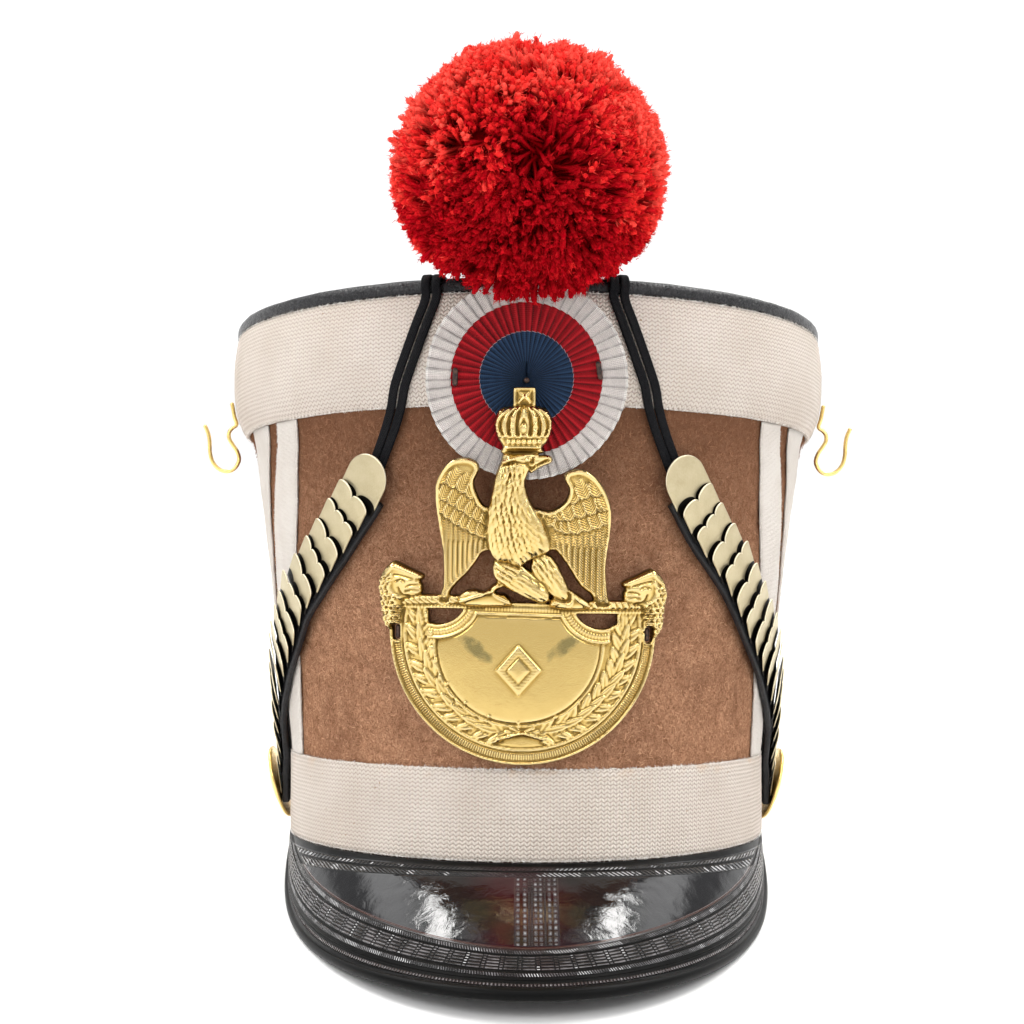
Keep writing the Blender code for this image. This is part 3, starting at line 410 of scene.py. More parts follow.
def webbing_surface():
    """Cotton webbing in columns of small Vs, with seed specks and a rust tint near its lower edge."""
    paint = Paint("cream_webbing", (0.8, 0.75, 0.7), 1.0, Specular_IOR_Level=0.05)
    across, up = paint.cloth()
    across = paint.total(across, paint.spread(paint.noise(2.4, 2.0), 0.0, 1.0, -0.28, 0.28))
    up = paint.total(up, paint.spread(paint.noise(3.1, 2.0), 0.0, 1.0, -0.22, 0.22))
    column = paint.calc("FRACT", paint.calc("DIVIDE", across, 2.12))
    fold = paint.calc("ABSOLUTE", paint.less(column, 0.5))
    yarn = paint.beads(paint.total(paint.calc("DIVIDE", up, 1.4), paint.times(fold, 1.15)), 1.0)
    leg = paint.beads(column, 0.5)
    weave = paint.times(paint.calc("POWER", yarn, 0.6), paint.calc("POWER", leg, 0.2))
    strands = paint.noise(0.28, 2.0)
    tone = paint.ramp(paint.noise(26.0, 3.0), (0.35, (0.68, 0.61, 0.55)), (0.7, (0.60, 0.525, 0.46)))
    # Painted shade in the weave's hollows, between the yarns.
    tone = paint.tint(tone, weave, 0.75, 0.15, (0.30, 0.215, 0.155), 0.75)
    tone = paint.tint(tone, strands, 0.4, 0.8, (0.84, 0.78, 0.71), 0.3)
    rust = paint.times(paint.spread(paint.noise(9.0, 3.0), 0.52, 0.7),
                       paint.spread(up, 26.0, 30.5, 0.0, 0.45), paint.spread(up, 34.0, 36.0, 1.0, 0.0))
    tone = paint.mix(rust, tone, (0.62, 0.36, 0.16))
    paint.set("Base Color", paint.tint(tone, paint.cells(7.5), 0.05, 0.035, (0.30, 0.17, 0.08), 0.8))
    return paint.bump((weave, 0.5), (strands, 0.12))


def tape_surface():
    """White cotton tape, closely woven."""
    paint = Paint("white_tape", (0.8, 0.78, 0.75), 1.0, Specular_IOR_Level=0.05)
    across, up = paint.cloth()
    weave = paint.times(paint.wave(paint.total(across, up), 0.95), paint.wave(paint.less(across, up), 0.95))
    soft = paint.noise(0.5, 3.0)
    tone = paint.ramp(paint.noise(14.0, 3.0), (0.35, (0.84, 0.79, 0.735)), (0.7, (0.76, 0.70, 0.64)))
    paint.set("Base Color", paint.tint(tone, weave, 0.4, -1.0, (0.50, 0.43, 0.37), 0.6))
    return paint.bump((weave, 0.16), (soft, 0.35))


def leather_surface(name, rough, tone, grain=0.9, shine=0.4):
    """Grained black leather."""
    paint = Paint(name, tone, rough, Specular_IOR_Level=shine)
    cell = paint.cells(grain, "DISTANCE_TO_EDGE")
    crease = paint.noise(3.2, 4.0, 0.6, distort=0.8)
    paint.set("Base Color", paint.tint(tone, crease, 0.35, 0.75, tuple(2.4 * v for v in tone)))
    paint.set("Roughness", paint.spread(crease, 0.3, 0.7, rough - 0.08, rough + 0.12))
    return paint.bump((paint.spread(cell, 0.0, 0.12), 0.09), (crease, 0.45))


def lace_surface():
    """Flat black lace in diagonal plait."""
    paint = Paint("black_lace", (0.012, 0.012, 0.014), 0.7, Specular_IOR_Level=0.1)
    across, along = paint.cloth()
    plait = paint.wave(paint.total(along, paint.calc("ABSOLUTE", across)), 0.8)
    soft = paint.noise(0.4, 2.0)
    paint.set("Base Color", paint.ramp(soft, (0.35, (0.003, 0.003, 0.004)), (0.75, (0.014, 0.014, 0.016))))
    return paint.bump((plait, 0.12), (soft, 0.08))


def brass_surface():
    """Polished brass: bright on high places, warmer and duller in the recesses."""
    paint = Paint("polished_brass", (0.9, 0.62, 0.2), 0.2, Metallic=1.0)
    lift = paint.mark("lift")
    cloud = paint.noise(5.0, 4.0, 0.6, distort=0.4)
    grit = paint.noise(0.6, 3.0, 0.7)
    # Darker where the lift mark is low: tarnish together with painted shade, as on the plate.
    tone = paint.tint((0.56, 0.33, 0.08), lift, 0.0, 0.7, (0.93, 0.69, 0.26))
    paint.set("Base Color", paint.tint(tone, cloud, 0.45, 0.75, (0.80, 0.53, 0.20), 0.35))
    paint.set("Roughness", paint.total(paint.spread(cloud, 0.3, 0.7, 0.13, 0.22),
                                       paint.spread(lift, 0.1, 0.8, 0.14, 0.0)))
    return paint.bump((grit, 0.035), (cloud, 0.05))


def brushed_surface():
    """Pale brass brushed along the strap."""
    paint = Paint("brushed_brass", (0.83, 0.72, 0.47), 0.45, Metallic=0.9)
    across, along = paint.cloth()
    spot = paint.node("CombineXYZ", inputs=(paint.times(across, 6.0), along))
    hairline = paint.noise(1.1, 3.0, 0.6, at=spot)
    tone = paint.ramp(paint.noise(6.0, 3.0), (0.35, (0.49, 0.42, 0.265)), (0.7, (0.42, 0.35, 0.21)))
    tone = paint.tint(tone, hairline, 0.4, 0.8, (0.62, 0.55, 0.39), 0.5)
    # Painted highlight along each lobed edge, where the brass edge would catch the light.
    tone = paint.tint(tone, paint.mark("rim"), 0.45, 0.2, (0.86, 0.79, 0.60), 0.75)
    # Painted shadow where the next scale's lobes stand over this one, and painted shade on the leaf's edges
    # and back.
    paint.set("Base Color", paint.tint(tone, paint.mark("free"), 0.5, 0.25, (0.012, 0.010, 0.008)))
    paint.set("Roughness", paint.spread(hairline, 0.3, 0.7, 0.36, 0.5))
    return paint.bump((hairline, 0.03))


def iron_surface():
    """Blackened wire with a little rust."""
    paint = Paint("blackened_wire", (0.05, 0.035, 0.03), 0.45, Metallic=0.8)
    rust = paint.noise(1.2, 3.0)
    paint.set("Base Color", paint.ramp(rust, (0.4, (0.03, 0.025, 0.025)), (0.75, (0.13, 0.07, 0.05))))
    return paint.bump((rust, 0.05))


POMPOM_CENTRE = np.array((-0.8, -134.0, 220.9))


def wool_surface():
    """Red yarn with painted light: painted shade in its depths, brighter and warmer where the shade mark
    paints light on the cut ends.
    """
    paint = Paint("red_wool", (0.6, 0.02, 0.015), 1.0, Specular_IOR_Level=0.0)
    tip = paint.ramp(paint.mark("shade"), (0.0, (0.30, 0.0, 0.005)), (0.30, (0.48, 0.0012, 0.009)),
                     (0.65, (0.88, 0.030, 0.026)), (1.0, (1.0, 0.115, 0.082)))
    # Fine streaks that run outwards from the ball's middle.
    ray = paint.vector("NORMALIZE", paint.vector("SUBTRACT", paint.place(), tuple(POMPOM_CENTRE)))
    streak = paint.noise(0.009, 3.0, 0.6, at=ray, distort=0.6)
    tip = paint.tint(tip, streak, 0.40, 0.70, (0.95, 0.055, 0.045), 0.22)
    tip = paint.tint(tip, streak, 0.50, 0.25, (0.26, 0.0, 0.003), 0.4)
    # Painted shade: darker where the depth mark is high, deep in the ball.
    paint.set("Base Color", paint.mix(paint.mark("depth"), tip, (0.26, 0.0, 0.003)))
    return paint.bump((streak, 0.3))


def ribbon_surface():
    """Corded ribbon in blue, red and white rings; its map holds the pleat and the radius."""
    paint = Paint("tricolour_ribbon", (0.5, 0.5, 0.5), 0.75, Specular_IOR_Level=0.2)
    pleat, radius = paint.cloth()
    cell = paint.calc("FRACT", pleat)
    edge = paint.total(radius, paint.spread(cell, 0.0, 1.0, -0.16, 0.16))
    tone = paint.ramp(paint.calc("DIVIDE", edge, 40.0), (0.0, (0.014, 0.038, 0.090)),
                      (0.3745, (0.40, 0.34, 0.37)), (0.3775, (0.30, 0.002, 0.007)),
                      (0.6075, (0.68, 0.625, 0.595)), hard=True)
    tone = paint.tint(tone, radius, 31.6, 31.8, (0.82, 0.78, 0.74))
    cord = paint.wave(radius, 0.62)
    thread = paint.wave(pleat, 1 / 7)
    soft = paint.noise(0.5, 3.0)
    # Painted shadow: each pleat is darker in its crease, where the fold drops onto the next.
    crease = paint.times(paint.spread(cell, 0.66, 0.90), paint.spread(cell, 1.0, 0.97, 0.6, 1.0),
                         paint.spread(paint.noise(3.4, 2.0), 0.35, 0.6, 0.55, 1.0),
                         paint.spread(radius, 13.0, 25.0, 1.0, 0.55))
    shade = paint.times(paint.spread(cord, -1.0, 1.0, 0.88, 1.0), paint.spread(thread, -1.0, 1.0, 0.76, 1.06),
                        paint.spread(soft, 0.3, 0.8, 0.85, 1.1),
                        paint.spread(paint.noise(7.0, 2.0), 0.3, 0.7, 0.90, 1.08),
                        paint.spread(crease, 0.0, 1.0, 1.0, 0.08))
    tone = paint.mix(1.0, tone, shade, "MULTIPLY")
    # The folds that catch the light, in the blue ring and in the red one.
    lit = paint.times(paint.spread(cell, 0.30, 0.55), paint.spread(cell, 0.76, 0.62))
    in_blue = paint.times(lit, paint.spread(radius, 15.0, 14.7, 0.0, 0.5))
    in_red = paint.times(lit, paint.pulse(radius, 15.0, 24.4), 0.55)
    tone = paint.mix(in_blue, tone, (0.032, 0.080, 0.175))
    paint.set("Base Color", paint.mix(in_red, tone, (0.58, 0.012, 0.02)))
    return paint.bump((cord, 0.06), (thread, 0.08), (soft, 0.06))


FELT = felt_surface()
WEBBING = webbing_surface()
TAPE = tape_surface()
CROWN_LEATHER = leather_surface("black_crown_leather", 0.24, (0.006, 0.006, 0.007), shine=0.26)
STRAP_LEATHER = leather_surface("black_strap_leather", 0.50, (0.004, 0.004, 0.005), 0.6)
LACE = lace_surface()
BRASS = brass_surface()
BRUSHED = brushed_surface()
IRON = iron_surface()
WOOL = wool_surface()
RIBBON = ribbon_surface()
FELT_FUZZ = fuzz_surface("felt_fibre", (0.32, 0.150, 0.082), (0.74, 0.43, 0.255))
WHITE_FUZZ = fuzz_surface("cotton_fibre", (0.66, 0.60, 0.54), (0.92, 0.89, 0.85))


# ------------------------------------------------------------------------------ how the hat rests


FLOOR_UP = np.array((0.0, -math.sin(LEAN), math.cos(LEAN)))
FLOOR_DEPTH = 16.582
CLEARANCE = 0.05


def settled(points):
    """Soft pieces flatten where they rest on the floor."""
    above = points @ FLOOR_UP + FLOOR_DEPTH
    return points + FLOOR_UP * np.maximum(0.0, CLEARANCE - above)[..., None]


# --------------------------------------------------------------------- felt, webbing, tapes, crown


BAND_OUT = 1.4
BOTTOM_BAND_TOP = 30.0
TOP_BAND_LOW = 149.0
FELT_COLUMNS = 220
BAND_COLUMNS = 320
FELT_FIBRES = 30000
# Heights of the bare felt between the bands, how far its unevenness fades in from them, and the heights
# over which its fibres are painted darker towards the top band, as painted shade.
BARE_FELT = (31.0, 148.0)
BARE_FADE = 4.0
FIBRES_DARKEN = (88.0, 146.0)
# How far a band's edge is turned in over its last millimetre.
EDGE_TURN = 0.55
# Loose fibres along one edge of a band and of a tape.
EDGE_FIBRES = 2000
TAPE_FIBRES = 520


def turn(count):
    """Equal angles all round, starting at the back."""
    return math.pi + circle(count)


def make_felt():
    """The felt tube, slightly lumpy between the bands, and the fibres that stand off it."""
    outer = np.concatenate([np.linspace(0.0, 28.0, 8), np.linspace(30.0, 150.0, 76),
                            np.linspace(154.0, RIM_TOP, 12)])
    inner = np.linspace(RIM_TOP, 0.0, 24)
    z = np.concatenate([outer, inner])[:, None]
    off = np.concatenate([np.zeros(len(outer)), np.full(len(inner), -FELT_WALL)])[:, None]
    angle = turn(FELT_COLUMNS)
    points = hull(z, angle, off)
    low, high = BARE_FELT
    bare = np.clip((z - low) / BARE_FADE, 0, 1) * np.clip((high - z) / BARE_FADE, 0, 1) * (off > -0.1)
    lumps = 0.28 * waves(points, 16.0, 3) + 0.12 * waves(points, 5.0, 4, 2)
    normals = hull_normal(z, angle)
    points += normals * np.clip(bare * lumps, -0.5, 0.5)[..., None]
    points += normals * ((off < -0.1) * 0.3 * waves(points, 20.0, 5))[..., None]
    grid_piece("felt_body_surface", settled(points), FELT, close_rows=True, close_cols=True,
               covers=("felt_body",), slot="felt")

    dice = np.random.default_rng(21)
    z = dice.uniform(low - 0.5, high + 0.6, FELT_FIBRES)
    angle = dice.uniform(-math.pi, math.pi, FELT_FIBRES)
    out = hull_normal(z, angle)
    side = unit(np.cross(out, dice.normal(size=out.shape)))
    # Like the felt under them, the fibres are painted darker towards the top band, as painted shade.
    dark = np.interp(z, FIBRES_DARKEN, (0.0, 1.0))
    shade = dice.random(FELT_FIBRES) * (1.0 - 0.65 * dark) - 0.35 * dark
    fibres("felt_fuzz", hull(z, angle, 0.2), side, out * dice.uniform(0.1, 0.6, FELT_FIBRES)[:, None],
           (0.9, 2.5), (0.10, 0.19), 1.5, FELT_FUZZ, 22, shade=shade, slot="felt")


def band_piece(name, low, high, lip, up_from, seed, covers):
    """A band of webbing: its outer side a little uneven, its edges turned and rounded."""
    rows_up = np.linspace(low, high, 26)
    rows_down = np.linspace(high, low, 8)
    turned = sum(np.clip(1 - from_edge, 0, 1) ** 2 for from_edge in (rows_up - low, high - rows_up))
    out = BAND_OUT + 0.05 - EDGE_TURN * turned + lip * np.exp(-((rows_up - low - 2.2) / 1.5) ** 2)
    z = np.concatenate([rows_up, rows_down])[:, None]
    off = np.concatenate([out, np.full(len(rows_down), GAP)])[:, None]
    angle = turn(BAND_COLUMNS)
    points = hull(z, angle, off)
    shift = 0.14 * waves(points, 18.0, seed) + 0.06 * waves(points, 5.0, seed + 1, 2)
    shown = np.arange(len(z))[:, None] < len(rows_up)
    points += hull_normal(z, angle) * (shift * shown)[..., None]
    sway = 0.22 * waves(hull(np.full(BAND_COLUMNS, low), angle), 30.0, seed + 2)
    points[..., 2] += sway * (np.abs(z - (high if low < 1.0 else low)) < 6.0)
    run = running_length(hull(0.5 * (low + high), np.append(angle, math.pi + TAU)))
    climb = np.append(z[:, 0], low) - low + up_from
    grid_piece(name, settled(points), WEBBING, close_rows=True, close_cols=True,
               uv=stack(run, climb[:, None]), covers=covers, slot="webbing")


def edge_fuzz(name, z, angle, off, count, seed):
    """Short cotton fibres along a line on the hat."""
    dice = np.random.default_rng(seed)
    spot = dice.uniform(0, len(z) - 1, count)
    steps = np.arange(len(z))
    zs, angles = np.interp(spot, steps, z), np.interp(spot, steps, angle)
    roots = hull(zs, angles, off) + dice.normal(0.0, 0.12, (count, 3))
    out = hull_normal(zs, angles)
    side = unit(np.cross(out, dice.normal(size=(count, 3))))
    fibres(name, settled(roots), side, out * 0.25, (0.5, 1.5), (0.10, 0.18), 0.8, WHITE_FUZZ, seed + 1,
           slot="webbing")


def make_bands():
    """Both bands of webbing, with fibres along their edges."""
    band_piece("bottom_band_webbing", 0.0, BOTTOM_BAND_TOP, 0.0, 0.0, 31, ("bottom_band",))
    band_piece("top_band_webbing", TOP_BAND_LOW, RIM_TOP, 0.55, 40.0, 41, ("top_band",))
    whole = np.linspace(-math.pi, math.pi, 400)
    for place, z, off in (("low", 0.3, 1.2), ("middle", 30.0, 1.1), ("high", 149.2, 1.5),
                          ("rim", 185.8, 1.2)):
        edge_fuzz(f"band_fuzz_{place}", z + 0 * whole, whole, off, EDGE_FIBRES, 50 + int(z))


# Tapes on the sides: height, angle of the front edge, angle of the rear edge.
OUTER_TAPE = (
    (148.7, 49.0, 56.0), (135.0, 51.5, 60.5), (117.0, 54.3, 66.5), (97.0, 57.5, 70.0), (85.0, 58.8, 71.0),
    (60.0, 61.6, 73.0), (30.3, 65.0, 75.5),
)
# The inner tape is a V: its outer edge and its inner edge, down to the point at the hat's side.
INNER_TAPE = (
    (148.7, 60.5, 148.7, 70.5), (136.0, 65.0, 136.0, 75.0), (117.0, 70.8, 117.0, 80.8),
    (85.0, 76.2, 85.0, 86.2), (60.0, 79.5, 70.0, 88.4), (30.3, 83.0, 62.0, 89.4), (30.3, 90.0, 60.0, 90.0),
)
TAPE_THICKNESS = 1.0
SIDES = (("left", -1), ("right", 1))


def tape_piece(name, rows, seed, covers):
    """A tape laid on the felt: rows of height and angle at one edge and at the other."""
    route = smooth_path(rows, 110)
    across = np.array((0.0, 0.015, 0.06, 0.15, 0.3, 0.5, 0.7, 0.85, 0.94, 0.985, 1.0))
    rise = np.array((0.1, 0.75, 1.08, 0.98, 0.92, 0.92, 0.92, 0.98, 1.08, 0.75, 0.1)) * TAPE_THICKNESS
    share = np.append(across, (0.8, 0.5, 0.2))
    off = GAP + np.append(rise, (0.0, 0.0, 0.0))
    z = route[:, :1] + (route[:, 2:3] - route[:, :1]) * share
    angle = np.radians(route[:, 1:2] + (route[:, 3:4] - route[:, 1:2]) * share)
    points = hull(z, angle, off)
    wobble = 0.12 * waves(points, 9.0, seed)
    points += hull_normal(z, angle) * (wobble * (off > GAP + 0.05))[..., None]
    width = np.linalg.norm(points[:, 10] - points[:, 0], axis=1)
    cloth = stack(np.append(share, 0.0) * width[:, None], running_length(points[:, 5])[:, None])
    rod_piece(name, points, TAPE, uv=cloth, covers=covers, slot="webbing")
    for edge, column in (("fore", 0), ("aft", 10)):
        edge_fuzz(f"{name}_{edge}_fuzz", z[:, column], angle[:, column], GAP + 0.6, TAPE_FIBRES,
                  seed + column)


def make_tapes():
    """Each side's chevrons: an outer tape in front and its mirror image behind, and the inner V."""
    for side, sign in SIDES:
        for place in ("front", "back"):
            rows = [(z, front, z, rear) for z, front, rear in OUTER_TAPE]
            tape_piece(f"tape_{side}_outer_{place}", tape_rows(rows, sign, place == "back"),
                       60 + len(side) + len(place), (f"chevron_{side}_outer_{place}",))
        rows = tape_rows(INNER_TAPE, sign) + tape_rows(INNER_TAPE[-2::-1], sign, True)
        tape_piece(f"tape_{side}_inner", rows, 90 + len(side), (f"chevron_{side}_inner",))


def tape_rows(rows, sign, behind=False):
    """A tape's rows on one side of the hat, or mirrored to that side's rear half."""
    start, way = (180.0, -1.0) if behind else (0.0, 1.0)
    return [(z1, sign * (start + way * a1), z2, sign * (start + way * a2)) for z1, a1, z2, a2 in rows]


# Crown's disc: its edge, as a distance outside the felt, the heights of its two sides at the middle, and the
# height above which the leather is uneven.
CROWN_DISC_EDGE = -16.0
CROWN_DISC_TOP = 187.2
CROWN_DISC_UNDER = 185.4
CROWN_UNEVEN = 187.0
# Crown, from the edge of its disc over the roll and back under it: height, distance outside the felt.
CROWN_ROLL = (
    (188.4, -16.0), (188.7, -11.0), (189.5, -6.4), (190.7, -3.4), (191.2, -1.5), (190.8, 0.4), (189.4, 1.5),
    (187.6, 1.75), (186.35, 1.5), (186.3, -0.4), (186.3, -2.6), (184.0, -2.8), (181.0, -2.9), (181.0, -5.0),
    (184.0, -5.8), (186.2, -6.8), (186.4, -16.0),
)


def make_crown():
    """The leather crown: a roll on the felt's top edge and a disc that sags a little."""
    roll = smooth_path(CROWN_ROLL, 44)
    shrink = np.linspace(0.06, 0.985, 12)
    z = np.concatenate([CROWN_DISC_TOP + 1.2 * shrink ** 2, roll[:, 0],
                        CROWN_DISC_UNDER + shrink[::-1] ** 2])[:, None]
    off = np.pad(roll[:, 1], len(shrink), constant_values=CROWN_DISC_EDGE)[:, None]
    scale = np.concatenate([shrink, np.ones(len(roll)), shrink[::-1]])[:, None]
    points = hull(RIM_TOP, turn(FELT_COLUMNS), off)
    points = stack(points[..., 0] * scale, points[..., 1] * scale, z)
    lumps = 0.22 * waves(points, 26.0, 71) + 0.08 * waves(points, 7.0, 72, 2)
    points[..., 2] += lumps * (z > CROWN_UNEVEN)
    rod_piece("crown_leather", points, CROWN_LEATHER, covers=("crown_top",), slot="crown_leather")


# --------------------------------------------------------------------------------------- the peak


PEAK_HALF_WIDTH = 90.0
PEAK_REACH = 157.0
PEAK_LOW = -33.4
PEAK_RISE = 25.8
PEAK_RISE_POWER = 2.7
PEAK_THICKNESS = 2.4
PEAK_BULGE = 1.8
WELT_WIDTH = 4.2
# A distance to the edge and the fold that no pattern reaches, for the parts out of sight.
PLAIN_FAR = 90.0


def peak_edge(angle):
    """The peak's free edge."""
    rise = PEAK_RISE * (1.0 - np.cos(angle)) ** PEAK_RISE_POWER
    return stack(PEAK_HALF_WIDTH * np.sin(angle), -PEAK_REACH * np.cos(angle), PEAK_LOW + rise)


def make_peak():
    """The visor: a slope with a raised welt; marks carry the distances its stitching follows."""
    angle = np.radians(np.linspace(-90.0, 90.0, 241))
    bend = hull(0.0, angle, BAND_OUT + 0.1)
    bend[:, 2] = -GAP
    edge = peak_edge(angle)
    depth = np.linalg.norm(edge - bend, axis=1)[:, None]
    slope = (edge - bend) / depth
    along = peak_edge(angle + 0.01) - peak_edge(angle - 0.01)
    outward = unit(np.cross(along, slope))
    outward *= np.sign(np.sum(outward * stack(np.sin(angle), -np.cos(angle), 1.0), axis=1))[:, None]
    flange = hull(0.0, angle, -FELT_WALL)

    # Rows of points from the felt outwards: flange, top, welt, underside.
    columns, kinds = [], []
    reach = depth - WELT_WIDTH

    def column(points, kind, z=None):
        points = points.copy()
        if z is not None:
            points[:, 2] = z
        columns.append(points)
        kinds.append(kind)

    def bulge(share):
        return PEAK_BULGE * 4 * share * (1 - share) * (reach / 55.0) ** 2

    for share in (0.0, 0.5):
        column(flange + (bend - flange) * share, "flange", -GAP)
    for share in np.linspace(0.0, 1.0, 58):
        column(bend + slope * reach * share + outward * bulge(share), "top")
    for far, high in ((4.0, 0.22), (3.8, 0.6), (3.4, 0.9), (2.8, 1.05), (2.0, 1.1), (1.3, 0.95), (0.7, 0.55),
                      (0.25, 0.0), (0.0, -0.7), (0.05, -1.3), (0.4, -1.9), (1.0, -2.3), (2.0, -2.4)):
        column(edge - slope * far + outward * high, "welt")
    for share in np.linspace(0.96, 0.06, 22):
        column(bend + slope * depth * share + outward * (bulge(share) - PEAK_THICKNESS), "under")
    column(flange, "under", -GAP - PEAK_THICKNESS)
    points = np.stack(columns, axis=1)
    kinds = np.array(kinds)
    points += outward[:, None] * (0.07 * waves(points, 9.0, 81, 2) * (kinds == "top"))[..., None]

    fine = np.radians(np.linspace(-90.0, 90.0, 1500))
    rim = peak_edge(fine)
    run = running_length(rim)
    run -= run[-1] / 2
    fold = hull(0.0, fine[::2], BAND_OUT + 0.1)
    fold[:, 2] = -GAP
    far, spot, from_bend = [], [], []
    for block in np.array_split(points.reshape(-1, 3), 60):
        gaps = np.linalg.norm(block[:, None] - rim, axis=2)
        far.append(gaps.min(axis=1))
        spot.append(run[gaps.argmin(axis=1)])
        from_bend.append(np.linalg.norm(block[:, None] - fold, axis=2).min(axis=1))
    under = np.tile((kinds == "under") | (kinds == "flange"), len(points))
    marks = {"edge_far": np.where(under, PLAIN_FAR, np.concatenate(far)), "edge_run": np.concatenate(spot),
             "bend_far": np.where(under, PLAIN_FAR, np.concatenate(from_bend))}
    rod_piece("peak_leather", settled(points), STITCHED, marks=marks, covers=("peak",), slot="patent_leather")


def stitched_surface():
    """Patent leather embossed with ropes, beads and a ring of ribbed blocks along its edge."""
    paint = Paint("embossed_patent_leather", (0.012, 0.008, 0.009), 0.1, Specular_IOR_Level=0.5)
    pulse, beads, total, times, spread = paint.pulse, paint.beads, paint.total, paint.times, paint.spread
    far, run, bend = paint.mark("edge_far"), paint.mark("edge_run"), paint.mark("bend_far")
    x = paint.axis(0)

    def rope(along, aside, pitch, slant):
        return beads(total(along, times(aside, slant)), pitch)

    def seam(low):
        return times(pulse(x, low, low + 0.7, 0.2), beads(bend, 0.8))

    def without(value):
        return paint.less(1.0, value)

    block = paint.calc("FRACT", total(paint.calc("DIVIDE", run, 6.9), 0.5))
    block_ring = pulse(far, 10.2, 16.0)
    ribs = times(block_ring, pulse(block, 0.12, 0.88, 0.05), beads(far, 1.15))
    ladder = times(block_ring, without(pulse(block, 0.07, 0.93, 0.05)), beads(far, 0.95))
    bead_row = times(pulse(far, 7.9, 9.6), rope(run, far, 1.0, 0.4))
    stitch = times(pulse(far, 4.3, 5.7, 0.4), beads(run, 1.3))
    groove = paint.less(0.0, total(pulse(far, 6.2, 6.9, 0.2), pulse(far, 18.9, 19.5, 0.2)))
    edge_rope = times(pulse(far, 16.5, 18.4, 0.4), rope(run, far, 1.15, 0.7))
    open_field = spread(far, 19.6, 20.0)
    upper = times(pulse(bend, 2.6, 4.3, 0.4), rope(x, bend, 1.5, 1.0), open_field)
    lower = times(pulse(bend, 4.9, 7.7, 0.5), rope(x, bend, 1.6, -1.1), open_field)

    # The strip down the middle: rows of dots and three seams on a raised ground.
    strip = times(spread(bend, 7.9, 8.2), spread(far, 19.9, 20.2))
    dot = paint.calc("POWER", beads(bend, 2.5), 3.0)
    dots = total(*(times(pulse(x, spot - 0.62, spot + 0.62, 0.5), dot)
                   for spot in (-3.4, -1.2, 2.2, 3.8, 6.6, 8.4)))
    seams = total(seam(-0.2), seam(0.7), seam(4.8))
    plateau = times(strip, pulse(x, -4.6, 9.6, 0.5))
    around_edge = total(ribs, ladder, bead_row, stitch, edge_rope)
    fine = total(around_edge, upper, lower, times(strip, dots), times(strip, seams))
    stamped = total(groove, times(plateau, 0.4), times(pulse(far, 9.9, 16.3, 0.4), -0.35))

    smooth_part = times(spread(far, 19.5, 20.5), spread(bend, 7.6, 8.4), without(plateau))
    ripple = paint.noise(4.2, 4.0, 0.62, distort=1.0)
    # Painted reflection of the red pompom: a maroon tint towards the middle of the peak.
    aside = spread(paint.calc("ABSOLUTE", x), 22.0, 8.0)
    reddish = times(aside, spread(paint.noise(17.0, 3.0), 0.35, 0.6))
    tone = paint.mix(reddish, (0.005, 0.005, 0.006), (0.030, 0.004, 0.006))
    brown = total(pulse(far, 18.7, 19.7, 0.2), pulse(far, 4.4, 5.6, 0.3), pulse(far, 6.1, 6.9, 0.2))
    tone = paint.mix(times(brown, 0.75), tone, (0.075, 0.026, 0.018))
    ring = spread(far, 19.0, 17.0)
    tone = paint.mix(times(ring, 0.6), tone, (0.012, 0.010, 0.010))
    # Painted highlights: crests are painted pale, and glints on some beads and ropes; gaps between them stay
    # black and dull.
    crest = times(around_edge, spread(paint.noise(7.0, 3.0), 0.35, 0.65, 0.35, 1.0))
    tone = paint.tint(tone, crest, 0.40, 0.90, (0.19, 0.18, 0.188), 0.9)
    glint = times(total(ladder, bead_row, edge_rope, upper, lower), spread(paint.noise(9.0, 3.0), 0.42, 0.58))
    tone = paint.tint(tone, glint, 0.70, 0.95, (0.60, 0.60, 0.61), 0.9)
    # Painted highlight on the dots of the middle strip.
    pale = times(strip, dots, spread(paint.noise(2.2, 2.0), 0.4, 0.6, 0.15, 0.9))
    tone = paint.mix(pale, tone, (0.42, 0.42, 0.43))
    # Painted shade: the gaps, and the fold under the band, are made black, and a metal as dark as this
    # reflects nothing there.
    gap = times(total(ring, pulse(bend, 2.4, 7.9, 0.4)), spread(fine, 0.35, 0.1))
    dark = paint.calc("MAXIMUM", gap, spread(bend, 2.6, 2.0))
    paint.set("Base Color", paint.mix(dark, tone, (0.003, 0.003, 0.003)))
    paint.set("Metallic", times(dark, 0.85))
    paint.set("Roughness", total(0.06, times(pulse(far, 5.8, 19.0), 0.12), times(dark, 0.35),
                                 spread(paint.noise(0.8, 2.0), 0.3, 0.7, 0.0, 0.04)))
    return paint.bump((ripple, 0.035), (times(smooth_part, ripple), 0.08), (stamped, 1.0), (fine, 1.0))


STITCHED = stitched_surface()

make_felt()
make_bands()
make_tapes()
make_crown()
make_peak()


# -------------------------------------------------------------------------------------- the plate


# The plate's sheet: height, distance in front of the hat's axis.
PLATE_LINE = np.array((
    (32.0, 109.8), (60.0, 111.5), (85.0, 114.0), (105.0, 118.6), (124.0, 124.6), (153.0, 129.2),
))
PLATE_HEIGHTS = np.arange(20.0, 170.0, 0.5)
PLATE_DEPTHS = smoothed(np.interp(PLATE_HEIGHTS, PLATE_LINE[:, 0], PLATE_LINE[:, 1]), 16, 6.0)
# It bends round like an ellipse of these half axes. Higher up it is flatter: the height where that starts,
# the height over which it comes in, and the share of the bend that is lost.
PLATE_BEND = (97.0, 111.0)
PLATE_FLATTER = (90.0, 30.0, 0.6)
PLATE_X = -2.2
PLATE_SHEET = 0.8
PLATE_PITCH = 0.38
RASTER = 0.2
